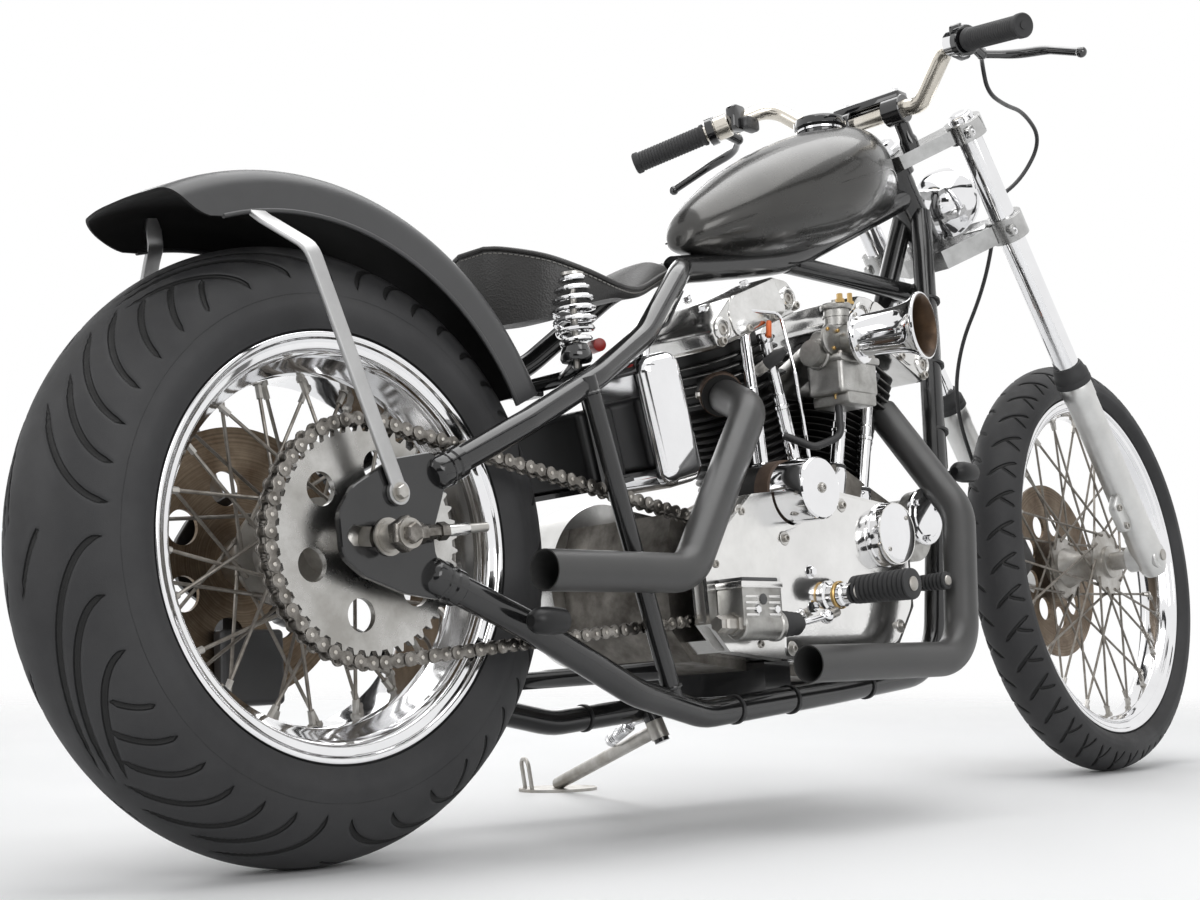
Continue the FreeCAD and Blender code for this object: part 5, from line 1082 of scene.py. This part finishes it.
for x, z in ((618, 340), (618, 206), (700, 200), (780, 196), (850, 232), (868, 300), (852, 378), (740, 386), (486, 240),
             (486, 306), (540, 370), (560, 212)):
    depth = CAM_Y if x > 604 else -146.8
    covers.append((lathe([(0, 0), (0, 8.4), (0.8, 9), (1.4, 8.4), (1.4, 0)], (x, depth, z), -Y, 24), "cover_satin"))
    covers += [(bolt((x, depth - 1.2, z), -Y, 4.6, 4.4, 20, False), "dull_steel")]
for x, z in ((664, 300), (664, 256)):
    covers += [(bolt((x, CAM_Y, z), -Y, 6.5, 6), "chrome")]
make("engine_covers", "chassis", covers, BIKE, (), 30)

# Rear brake cylinder and foot pegs

MID = -174.3
brake = [
    (plate(rectangle(484, 230, 556, 276, 3), -189, -150.3, 1.6),
     "cast_alloy"),
    (plate(rectangle(482, 275, 558, 283, 2), -190.3, -150.3, 1),
     "polished_alloy"),
    (plate(rectangle(487, 282, 553, 287.6, 2), -187, -152, 1),
     "satin_black"),
    (lathe([(0, 0), (0, 15), (2, 17), (66, 17), (68, 18.6), (74, 18.6), (76, 16), (76, 0)], (486, MID, 232), X, 40),
     "cast_alloy"),
    (lathe([(0, 0), (0, 9), (5, 10.6), (9, 9), (12, 11), (26, 11), (26, 13.5), (34, 13.5), (34, 0)], (452, MID, 234),
           X, 6), "dull_steel"),
    (rod((660, MID, 243), (682, MID, 249), 6.2), "dull_steel"), (rod((604, MID, 234), (664, MID, 244), 4), "chrome"),
    (ball((660, MID, 243), 9), "chrome"),
]
bellows = [(0, 0), (0, 15)]
for ring in range(5):
    bellows += [(4 + ring * 9.4, 16.8 - ring * 0.7), (8.2 + ring * 9.4, 12.4 - ring * 0.6)]
brake.append((lathe(bellows + [(50, 9), (50, 0)], (556, MID, 234), X, 36), "grip_rubber"))
for z in (237, 244, 251, 258, 265):
    for x0, x1 in ((488, 512), (530, 552)):
        brake.append((plate(rectangle(x0, z - 1.6, x1, z + 1.6, 1.4), -190.3, -187, 1), "polished_alloy"))
brake.append((lathe([(0, 0), (0, 6.5), (2.2, 6.5), (2.8, 5), (2.8, 0)], (521, -187.6, 262), -Y, 24), "satin_black"))
for x in (510, 545):
    brake += [(bolt((x, -187.8, 250), -Y, 5, 2.4, 6), "chrome")]
make("rear_master_cylinder", "chassis", brake, BIKE, ("brake_master",), 30)


def ribbed(start, k, long, r, ribs=11):
    """Rubber sleeve whose ribs swell a little towards the outer end."""
    profile = [(0, 0), (0, r - 2)]
    step = (long - 8) / ribs
    for i in range(ribs):
        s0 = 3 + i * step
        grow = r - 1.6 + 1.6 * i / ribs
        profile += [(s0, grow - 2.6), (s0 + step * 0.2, grow), (s0 + step * 0.75, grow), (s0 + step * 0.95, grow - 2.6)]
    profile += [(long - 5, r - 2), (long - 3, r), (long - 1, r - 0.6), (long, r - 3), (long, 0)]
    return lathe(profile, start, k, 36)


PEG = (700, 0, 270)
feet = [
    (lathe([(150.3, 0), (150.3, 19), (154, 19.5), (156, 16), (164, 16), (165, 15), (176, 15), (178, 12), (186, 12),
            (186, 0)], PEG, -Y, 36), "chrome"),
    (lathe([(165, 16), (166, 17.5), (169, 17.5), (170, 16)], PEG, -Y, 36), "brass"),
    (ball((712, -178, 273), 12), "dull_steel"),
    (ribbed((722, -176, 276), -Y, 86, 19.5), "grip_rubber"),
    (lathe([(0, 0), (0, 9), (1.5, 9), (3.5, 6), (4, 0)], (722, -261.5, 276), -Y, 24), "dull_steel"),
    (rod((700, -168, 270), (894, -160, 288), 6), "dull_steel"),
    (ribbed((894, -150, 288), -Y, 50, 12, 7), "grip_rubber"),
    (lathe([(0, 0), (0, 7), (1.5, 6), (2, 0)], (894, -200, 288), -Y, 24), "dull_steel"),
    (rod((722, 137, 276), (722, 170, 276), 11), "dull_steel"),
    (ribbed((722, 162, 276), Y, 90, 15), "grip_rubber"),
]
make("foot_pegs", "chassis", feet, BIKE, ("foot_controls",), 30)

# Frame details: axle plates, struts, sockets, welds, ties


def pierced(outline, hole, low, high):
    """Plate with one opening: both outlines are walls, and the faces between them are cut into triangles."""
    loops = [np.asarray(outline, float), np.asarray(hole, float)]
    flat = np.concatenate(loops)
    m = len(loops[0])
    rows = np.concatenate([inset(loops[0], 1.2), inset(loops[1], -1.2)])
    tris = tessellate_polygon([[Vector((x, z, 0)) for x, z in ring] for ring in (rows[:m], rows[m:])])
    layers = [(rows, low), (flat, low + 1.2), (flat, high - 1.2), (rows, high)]
    V = np.concatenate([np.stack([f[:, 0], np.full(len(f), y), f[:, 1]], 1) for f, y in layers])
    n = len(flat)
    faces = [list(t) for t in tris] + [[i + 3 * n for i in t] for t in tris]
    for start, count in ((0, m), (m, n - m)):
        j = np.arange(count)
        a, b = start + j, start + (j + 1) % count
        for layer in range(3):
            faces += (np.stack([a, b, b + n, a + n], 1) + layer * n).tolist()
    return V, faces


def ring_bead(at, k, r, thick, n=40):
    """Weld bead: a ring whose thickness ripples with the puddles."""
    e1, e2 = across(k)
    a = np.linspace(0, 2 * np.pi, n + 1)
    path = np.asarray(at, float) + r * (np.cos(a)[:, None] * e1 + np.sin(a)[:, None] * e2)
    return pipe(path, thick * (1 + 0.18 * np.sin(a * 14)), 8)


hardware = []
lug = rounded([(-59, 345), (-40, 372), (12, 402), (62, 412), (84, 392), (66, 345), (60, 330), (62, 306), (84, 284),
               (66, 262), (20, 268), (-30, 284), (-56, 302)], [22, 24, 30, 14, 14, 16, 10, 16, 14, 12, 30, 30, 22], 6)
slot_ring = rounded([(-41, 313), (0, 313), (10.5, 323), (0, 333), (-41, 333), (-51, 323)], [4, 8, 8, 8, 4, 8], 4)
for side, name in ((1, "left"), (-1, "right")):
    low_y, high_y = sorted((side * 136, side * 144))
    make(f"axle_lug_{name}", "chassis", [(pierced(lug, slot_ring, low_y, high_y), "tube_black")], BIKE,
         (f"axle_plate_{name}",), 30)
    stay = [(68, 140, 389), (200, 139, 452)]
    rail = [(56, 140, 287), (185, 141, 237)]
    for (a, b), r in ((stay, 14.3), (rail, 16.0)):
        a, b = np.array(a) * (1, side, 1), np.array(b) * (1, side, 1)
        k = unit(b - a)
        hardware.append((lathe([(-6, 0), (-6, r - 2), (-3, r + 1.5), (0, r + 3.2), (14, r + 3.2), (16, r + 1.6),
                                (24, r + 1.6), (26, r + 3.4), (36, r + 3.4), (39, r + 0.6), (39, r - 1)], a, k, 32),
                         "tube_black"))
        hardware.append((ring_bead(a + k * 15, k, r + 2.6, 2.0), "tube_black"))
    post_low, post_high = np.array([415, side * 136, 150.0]), np.array([301, side * 136, 513.0])
    rise = post_high - post_low
    for at in (post_low + unit(rise) * 17, post_high - unit(rise) * 19):
        hardware.append((ring_bead(at, rise, 11, 2.4), "tube_black"))
    for x, y, z, k, r in ((530, 124.6, 137, (1, 0, 0.07), 16.6), (640, 122.2, 145, (1, 0, 0.07), 16.6),
                          (800, 120, 158, (1, 0, 0.09), 16.6)):
        hardware.append((lathe([(0, r - 2), (0, r + 1.2), (4.6, r + 1.2), (4.6, r - 2)], (x, side * y, z), k, 30),
                         "cable_black"))
AXLE = (0, 0, REAR_Z)
hardware += [
    (lathe([(144.6, 9), (144.6, 19), (147, 19), (147, 16), (149, 16), (149, 13), (163, 13)], AXLE, -Y, 32),
     "dull_steel"),
    (lathe([(163, 9), (163, 17.4), (165, 18), (176, 18), (178, 16.6), (178, 11), (186, 10.4), (187.6, 8.6), (187.6, 0)],
           AXLE, -Y, 6), "oily_steel"),
    (lathe([(144.6, 9), (144.6, 19), (147, 19), (148, 17), (163, 17), (165, 15.6), (165, 0)], AXLE, Y, 6),
     "dull_steel"),
]
for side in (1, -1):
    a, b = np.array([0, side * 155, REAR_Z]), np.array([121, side * 155, 336.0])
    k = unit(b - a)
    hardware.append((lathe([(20, 0), (20, 10), (24, 10), (24, 11), (36, 11), (36, 7.6), (56, 7.6), (56, 9.5), (66, 9.5),
                            (66, 0)], a, k, 6), "oily_steel"))
    hardware.append((rod(a + k * 60, a + k * 96, 6.2), "polished_alloy"))
make("frame_hardware", "chassis", hardware)


def flat_bar(path, face, wide, thick):
    """Rounded flat bar along a path; face gives the outward direction of its flat at each point."""
    path = np.asarray(path, float)
    t = np.gradient(path, axis=0)
    t /= np.linalg.norm(t, axis=1)[:, None]
    face = np.asarray(face, float)
    face = face - t * np.sum(face * t, 1)[:, None]
    face /= np.linalg.norm(face, axis=1)[:, None]
    edge = np.cross(t, face)
    ring = rectangle(-wide / 2, -thick / 2, wide / 2, thick / 2, 1.6, 3)
    taper = np.clip(np.minimum(np.arange(len(path)), np.arange(len(path))[::-1]) / 3 + 0.35, 0, 1) ** 0.5
    P = path[:, None] + taper[:, None, None] * ring[None, :, :1] * edge[:, None] + ring[None, :, 1:] * face[:, None]
    return capped(P)


struts = []
for side in (1, -1):
    points = [(13, side * 147.6, 360), (13, side * 147.6, 372), (-84, side * 147.6, 602), (-103, side * 100, 638),
              (-107, side * 86.6, 650), (-112, side * 85.6, 680)]
    path = bend(points, 22, 6)
    dense = points_at(path, np.linspace(0, walked(path)[-1], 60))
    struts.append((flat_bar(dense, np.tile([0, side, 0.35], (60, 1)), 19, 5.4), "strut_grey"))
    struts.append((lathe([(144.3, 0), (144.3, 12.4), (145, 13), (149.6, 13), (150.3, 12.4), (150.3, 0)],
                         (13, 0, 367), Y * side, 36), "strut_grey"))
    struts += [(bolt((13, side * 150, 367), Y * side, 7.4, 5.4), "dull_steel")]
make("mudguard_struts", "chassis", struts, BIKE, ("fender_struts",), 35)

# Front fork

LEG_Y = 112.4

def fork_lathe(profile, side, n=56):
    """Round body along a fork leg."""
    return lathe(profile, (0, side * LEG_Y, 0), Z, n)


legs = []
for side in (1, -1):
    legs += [
        (fork_lathe([(272, 0), (272, 19.5), (799, 19.5), (801, 18.6), (803, 16.6), (803, 0)], side), "chrome"),
        (fork_lathe([(802.4, 0), (802.4, 13), (803, 13.4), (805, 13.4), (806, 12), (806, 0)], side, n=6), "chrome"),
        (fork_lathe([(-32, 0), (-32, 12), (-30.5, 17), (-24, 21), (-12, 24), (0, 25.2), (40, 25.4), (44, 24.4),
                     (300, 24.4), (304, 25.5), (327, 25.5), (330, 24), (330, 20)], side), "slider_alloy"),
        (lathe([(78.4, 10), (78.4, 20.6), (80, 22), (130, 22), (132.4, 20), (132.4, 10)], (0, 0, 0), Y * side, 44),
         "slider_alloy"),
        (fork_lathe([(330.3, 20), (330.3, 27), (331.5, 28.4), (338, 28.4), (340, 27.4), (342, 28), (350, 27.4),
                     (353, 25.4), (361, 23.6), (364, 22.6), (364, 20)], side), "grip_rubber"),
        (plate(rounded([(-52, 80), (-20, 66), (-20, 140), (-52, 126)], 9), side * LEG_Y - 7, side * LEG_Y + 7, 3),
         "slider_alloy"),
    ]
    for z in (86, 120):
        legs += [(bolt((-42, side * LEG_Y - 7.4, z), -Y, 5.5, 4, 20, False), "dull_steel")]
make("fork_legs", "fork", legs, FORK, ("fork_tubes", "fork_sliders", "dust_seals"), 30)

trees = []
for z, half in ((612, 15), (779, 11)):
    for side in (1, -1):
        clamp = [(z - half - 4.2, 20), (z - half - 4.2, 27), (z - half - 2.6, 28.8), (z + half + 2.6, 28.8),
                 (z + half + 4.2, 27), (z + half + 4.2, 20)]
        trees.append((fork_lathe(clamp, side), "tree_alloy"))
        trees += [(bolt((-24, side * 130, z - 2), unit((-0.4, side * 1.0, 0)), 5.5, 6, 20, False), "chrome"),
                  (plate(rectangle(-34, z - 8, -14, z + 8, 5), side * 128 - 7,
                         side * 128 + 4, 2), "tree_alloy")]
trees.append((lathe([(790.4, 0), (790.4, 22), (792, 23.4), (800, 23.4), (804, 19), (811, 17), (812, 14), (812, 0)],
                    (-51.2, 0, 0), Z, 6), "chrome"))
trees.append((plate(rounded([(-28, -92), (12, -84), (12, -50), (-28, -50)], 6), 626, 628.4, 1, u=X, v=Y, w=Z),
              "tree_alloy"))
make("tree_details", "fork", trees, FORK, (), 30)

LAMP_K = np.array([math.cos(math.radians(35)), 0, -math.sin(math.radians(35))])
LAMP_AT = np.array([12, 0, 690.0])
lamp_parts = [
    (lathe([(0.5, 0), (0.5, 12), (2, 20), (6, 29), (14, 38), (26, 46), (40, 52), (48, 54.5), (50, 55.8), (58, 56),
            (60, 54.6), (62, 56), (67, 56), (70, 54.4)], LAMP_AT, LAMP_K, 64), "chrome"),
    (lathe([(62, 55), (66, 52), (69, 40), (71, 20), (71.5, 0)], LAMP_AT, LAMP_K, 64), "lamp_glass"),
    (rod((-30, 0, 612), (24, 0, 612), 8), "tube_black"),
    (pipe(bend([(20, 0, 612), (30, 0, 622), LAMP_AT + LAMP_K * 26 - Z * 18], 10), 8, 16), "tube_black"),
    (bolt(LAMP_AT + LAMP_K * 20 - Z * 44, -Z, 7, 6), "dull_steel"),
]
make("headlamp_bowl", "fork", lamp_parts, FORK, ("headlamp",), 30)

# Handlebar, grips and levers


def bar_line(side):
    """Corner points of one half of the handlebar, from the middle to the grip."""
    return np.array([(1100, side * 60, 1012), (1100, side * 86, 1008), (1070, side * 160, 1073),
                     (1004, side * 209, 1041), (947, side * 336, 1008)], float)


bar_path = bend(np.concatenate([bar_line(1)[::-1], bar_line(-1)]), 42, 5)
grip_parts, lever_parts, riser_parts = [], [], []
FORK_LOCAL = np.linalg.inv(BAR) @ FORK
for side in (1, -1):
    end, before = bar_line(side)[-1], bar_line(side)[-2]
    inward = unit(before - end)
    profile = [(-6, 0), (-6, 5), (-4.5, 5), (-4.5, 13), (-5.6, 15.4), (-4, 17), (3, 17), (4.6, 15.2)]
    for i in range(20):
        profile += [(6 + i * 5, 14.9), (7 + i * 5, 15.7), (9.4 + i * 5, 15.7), (10.4 + i * 5, 14.9)]
    profile += [(108, 15.4), (110, 16.9), (114.4, 17), (115, 16), (115, 12.9)]
    grip_parts.append((lathe(profile, end, inward, 44), "grip_rubber"))
    at = end + inward * 121
    lever_parts.append((lathe([(-2, 12.9), (-2, 20), (-1, 21.6), (10, 21.6), (11, 20), (11, 12.9)], at, inward, 40),
                        "gloss_black"))
    lever_parts.append((lathe([(12, 12.9), (12, 17.6), (13, 18.6), (33, 18.6), (34, 17.6), (34, 12.9)], at, inward, 40),
                        "chrome" if side < 0 else "bar_nickel"))
    knuckle, tip = np.array([1056, side * 218, 1034.0]), np.array([1066, side * 362, 992.0])
    lever_parts.append((pipe(bend([at + inward * 8 + X * 15, at + inward * 10 + X * 34, knuckle], 12), 8, 16),
                        "gloss_black"))
    blade = bend([knuckle, (1090, side * 252, 1031), (1090, side * 300, 1022), tip], 60, 4)
    swell = 6 + 1.2 * np.sin(np.linspace(0, np.pi, len(blade)))
    lever_parts.append((pipe(blade, swell, 18), "gloss_black"))
    along = inward * (46 if at[1] > 0 else 14)
    lever_parts.append((block(at + along + Z * 4, (30, 17, 40), 7, 2), "gloss_black"))
    lever_parts.append((block(at + along + inward * 13 + X * 12 - Z * 8, (34, 16, 22), 7, 3), "satin_black"))
    lever_parts += [(ball(knuckle, 8.4), "gloss_black"), (ball(tip, 7.8), "gloss_black"),
                    (bolt(knuckle + Z * 6, Z, 5, 5), "chrome"), (bolt(at + inward * 4.5 + Z * 20, Z, 4, 4, 20, False),
                                                                 "chrome")]
    top = np.array([1100, side * 44, 1012.0])
    foot = (FORK_LOCAL @ np.array([-51.2, 0, 779, 1]))[:3] + Y * side * 44
    k = unit(top - foot)
    span = np.linalg.norm(top - foot)
    riser_parts.append((lathe([(8, 0), (8, 14), (span * 0.34, 14), (span * 0.42, 11.4), (span * 0.72, 11.4),
                               (span - 16, 14), (span - 6, 14), (span - 6, 0)], foot, k, 36), "gloss_black"))
    riser_parts.append((lathe([(-16, 12.9), (-16, 20.4), (-14.6, 21.7), (14.6, 21.7), (16, 20.4), (16, 12.9)], top, Y,
                              40), "gloss_black"))
    for x in (-12, 12):
        riser_parts += [(bolt(top + X * x * 0.5 + Z * 26.4 + Y * x * 0.5, Z, 4.6, 5, 20), "chrome")]
riser_parts.append((plate(rectangle(1086, 1026, 1114, 1039, 3), -58, 58, 2), "gloss_black"))
make("bar_tube", "fork", [(pipe(bar_path, 12.7, 36), "bar_nickel")], BAR, ("handlebar",), 40)
make("bar_grips", "fork", grip_parts, BAR, ("grips",), 30)
make("hand_lever_set", "fork", lever_parts, BAR, ("hand_levers",), 30)
make("bar_risers", "fork", riser_parts, BAR, ("risers",), 30)

# Indicators, side stand spring, cable ties and a few fixed lines

bullets = []
for x, side, z in ((1064, 1, 450), (1064, -1, 450), (176, 1, 238), (176, -1, 238)):
    y = 90 if x > 500 else 140
    at = np.array([x, side * (y + 40), z], float)
    bullets += [(rod((x, side * y, z), at, 5), "cable_black"),
                (lathe([(-23, 0), (-22.4, 6), (-19, 10.6), (-12, 14), (0, 15), (14, 14.2), (20, 13.4), (23, 13)], at,
                       X, 32), "plastic_black"),
                (lathe([(22.6, 13), (23, 11.4), (23, 0)], at, X, 32), "red_cap" if x < 500 else "orange_lead")]
make("indicator_shells", "chassis", bullets, BIKE, ("indicators",), 30)
pivot, foot = np.array([639, 96, 117.0]), np.array([731, 353, 0.0])
leg = unit(foot - pivot)
aside = unit(np.cross(leg, Z)) * -15
turns = np.linspace(0, 1, 260)
e1, e2 = across(leg)
hook = pivot + aside + leg * 6
winding = hook + leg * (14 + 66 * turns[:, None]) + 7 * (np.cos(2 * np.pi * 15 * turns)[:, None] * e1
                                                        + np.sin(2 * np.pi * 15 * turns)[:, None] * e2)
make("stand_spring", "stand", [(pipe(winding, 1.5, 7), "chrome"), (rod(pivot, hook + leg * 16, 2), "chrome"),
                               (rod(hook + leg * 78, pivot + leg * 104, 2), "chrome")], FLOOR)
clutter = []
for side in (1, -1):
    neck_low = np.array([1060, side * 88, 440.0])
    neck_high = np.array([1188, side * 16, 874.0])
    k = unit(neck_high - neck_low)
    off = unit(np.cross(k, Y)) * -19 + Y * side * 4
    run_line = [neck_low + k * s_ + off * (1 + 0.06 * math.sin(s_ / 31)) for s_ in np.linspace(30, 330, 24)]
    clutter.append((pipe(run_line, 3.0, 8), "cable_black"))
    for s_ in (80, 190, 300):
        clutter.append((lathe([(0, 14), (0, 18.4), (4, 18.4), (4, 14)], neck_low + k * s_ + off * 0.2, k, 26),
                        "cable_black"))
clutter.append((pipe(bend([(860, -24, 744), (900, -26, 742), (1000, -26, 744), (1100, -22, 742)], 30), 2.6, 8),
                "cable_black"))
clutter.append((rod((396, -70, 572), (414, -40, 576), 8), "red_cap"))
clutter.append((pipe(bend([(440, -60, 556), (470, -80, 590), (520, -70, 612), (560, -62, 660)], 20), 2.4, 8),
                "cable_black"))
clutter.append((pipe(bend([(432, -40, 560), (480, -56, 606), (540, -48, 640), (584, -40, 676)], 20), 2.4, 8),
                "cable_black"))
make("fixed_wiring", "chassis", clutter)

# Exhaust pipes: bent tubes with open mouths

PIPE_R, PIPE_BORE, OPEN_DEPTH = 22.3, 20.7, 90
for name, points, radius, nodes in (
        ("front_exhaust", [(980, -58, 540), (962, -182, 383), (903, -206, 186), (577, -205, 185)], 70,
         ("exhaust_pipes",)),
        ("rear_exhaust", [(634, -60, 532), (598, -128, 502), (405, -178, 291), (181, -176, 291)], 60, ())):
    path = bend(points, radius, 4)
    n = len(path) - 1
    inside = path[-1] + (path[-2] - path[-1]) / np.linalg.norm(path[-2] - path[-1]) * OPEN_DEPTH
    rows = ([(0, 0.0)] + [(i, PIPE_R) for i in range(n)]
            + [(n + 1, PIPE_R), (n + 1, PIPE_BORE), (n, PIPE_BORE), (n, 0.0)])
    tube = pipe(np.vstack([path[:-1], inside, path[-1:]]), 0, 40, rows=rows)
    make(name, "chassis", [(tube, "exhaust_black")], BIKE, nodes)

# Brake hose

hose_points = carried([(1062.8, -213.4, 1035.7), (1104, -192, 1040), (1118, -188, 1000), (1200, -172, 1004),
                       (1300, -152, 1022), (1385, -135, 1000), (1372, -100, 942), (1325, -72, 905), (1322, -62, 840),
                       (1345, -20, 770), (1380, 50, 700), (1398, 82, 610), (1440, 80, 500), (1460, 72, 440),
                       (1461, 70, 412)], BAR)
line = bpy.data.curves.new("front_brake_hose", "CURVE")
line.dimensions = "3D"
line.resolution_u = 16
line.bevel_depth = 0.0032
line.bevel_resolution = 5
spline = line.splines.new("NURBS")
spline.points.add(len(hose_points) - 1)
spline.points.foreach_set("co", np.hstack([hose_points, np.ones((len(hose_points), 1))]).ravel())
spline.order_u = 3
spline.use_endpoint_u = True
hose = added("front_brake_hose", line)
line.materials.append(FINISH["cable_black"])
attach(hose, "fork")
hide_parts("brake_hose")

# Floor, backdrop and lamps


def ground():
    """Flat floor as rings about the object; its alpha fades out with distance in the material."""
    r = np.concatenate([[0.02], np.geomspace(0.3, 9, 14)])
    a = np.linspace(0, 2 * np.pi, 64, endpoint=False)
    P = np.stack([r[:, None] * np.cos(a), r[:, None] * np.sin(a), np.zeros((len(r), 64))], -1)
    V, Q = woven(P)
    mesh = bpy.data.meshes.new("floor")
    mesh.from_pydata(V.tolist(), [], Q.tolist() + [list(range(64))])
    mesh.materials.append(floor_paper())
    return added("floor", mesh)


def floor_paper():
    """Pale studio paper that fades into the backdrop."""
    m = bpy.data.materials.new("floor_paper")
    m.use_nodes = True
    tree = m.node_tree
    shader = tree.nodes["Principled BSDF"]
    place = node(tree, "ShaderNodeTexCoord").outputs["Object"]
    grain = placed(tree, UNEVEN, {"Vector": place, "Scale": 3.0, "Low": 0.55, "High": 0.68}).outputs[0]
    tree.links.new(grain, shader.inputs["Roughness"])
    shader.inputs["Base Color"].default_value = (0.92, 0.92, 0.92, 1)
    shader.inputs["Specular IOR Level"].default_value = 0.3
    away = node(tree, "ShaderNodeVectorMath", {0: place}, operation="LENGTH")
    fade = node(tree, "ShaderNodeMapRange", {0: away.outputs["Value"], 1: 1.3, 2: 3.6, 3: 1.0, 4: 0.0},
                interpolation_type="SMOOTHSTEP")
    tree.links.new(fade.outputs[0], shader.inputs["Alpha"])
    return m


floor = ground()


def aimed(thing, at, towards, axis):
    """Puts a lamp or card at a place, one of its axes pointed at another place."""
    thing.location = at
    thing.rotation_euler = (Vector(towards) - Vector(at)).to_track_quat(axis, "Y").to_euler()
    return thing


def lamp(name, at, towards, size, power):
    """Soft rectangular lamp aimed at a point."""
    data = bpy.data.lights.new(name, "AREA")
    data.shape = "RECTANGLE"
    data.size, data.size_y = size
    data.energy = power
    aimed(added(name, data), at, towards, "-Z")


lamp("overhead_softbox", (0.1, -0.1, 3.0), (0, 0, 0.3), (3.4, 2.4), 62)
lamp("near_softbox", (-1.5, -3.2, 1.7), (0.1, 0, 0.45), (2.2, 1.5), 34)
lamp("far_softbox", (1.6, 3.0, 1.8), (0, 0, 0.5), (2.6, 1.6), 26)
lamp("tail_softbox", (-3.2, 0.6, 1.3), (0, 0, 0.4), (1.2, 1.8), 14)


def flag(name, at, towards, size):
    """Dark card, hollow by 0.02 (x^2 + y^2), out of the picture, that gives the chrome something to reflect."""
    w, h = size
    x, y = np.meshgrid(np.linspace(-w / 2, w / 2, 5), np.linspace(-h / 2, h / 2, 5), indexing="ij")
    V, Q = woven(np.stack([x, y, 0.02 * (x ** 2 + y ** 2)], -1), False, False)
    mesh = bpy.data.meshes.new(name)
    mesh.from_pydata(V.tolist(), [], Q.tolist())
    mesh.materials.append(FINISH["flag_cloth"])
    card = aimed(added(name, mesh), at, towards, "Z")
    card.visible_camera = card.visible_shadow = False
    return card


finish("flag_cloth", (0.02, 0.02, 0.021), (0.03, 0.03, 0.031), (0.8, 0.9), patch=3)
flag("flag_behind_camera", (-4.2, -3.6, 0.7), (0, 0, 0.5), (3.4, 1.5))
flag("flag_overhead_right", (0.2, -2.5, 3.2), (0, 0, 0.4), (3.6, 0.4))
flag("flag_overhead_left", (0.2, 2.2, 3.2), (0, 0, 0.4), (3.6, 0.6))
flag("flag_tail_left", (-3.0, 2.6, 0.9), (0, 0, 0.4), (0.8, 2.4))

world = bpy.data.worlds.new("backdrop")
bpy.context.scene.world = world
world.use_nodes = True
tree = world.node_tree
lit = tree.nodes["Background"]
lit.inputs["Color"].default_value = (0.86, 0.88, 0.9, 1)
lit.inputs["Strength"].default_value = 0.42
seen = node(tree, "ShaderNodeBackground", {"Color": (1, 1, 1, 1), "Strength": 1.0})
rays = node(tree, "ShaderNodeLightPath")
metal = node(tree, "ShaderNodeMath", {0: rays.outputs["Is Glossy Ray"], 1: rays.outputs["Is Transmission Ray"]},
             operation="MAXIMUM")
either = node(tree, "ShaderNodeMath", {0: rays.outputs["Is Camera Ray"], 1: metal.outputs[0]}, operation="MAXIMUM")
choice = node(tree, "ShaderNodeMixShader", {0: either.outputs[0], 1: lit.outputs[0], 2: seen.outputs[0]})
tree.links.new(choice.outputs[0], tree.nodes["World Output"].inputs["Surface"])
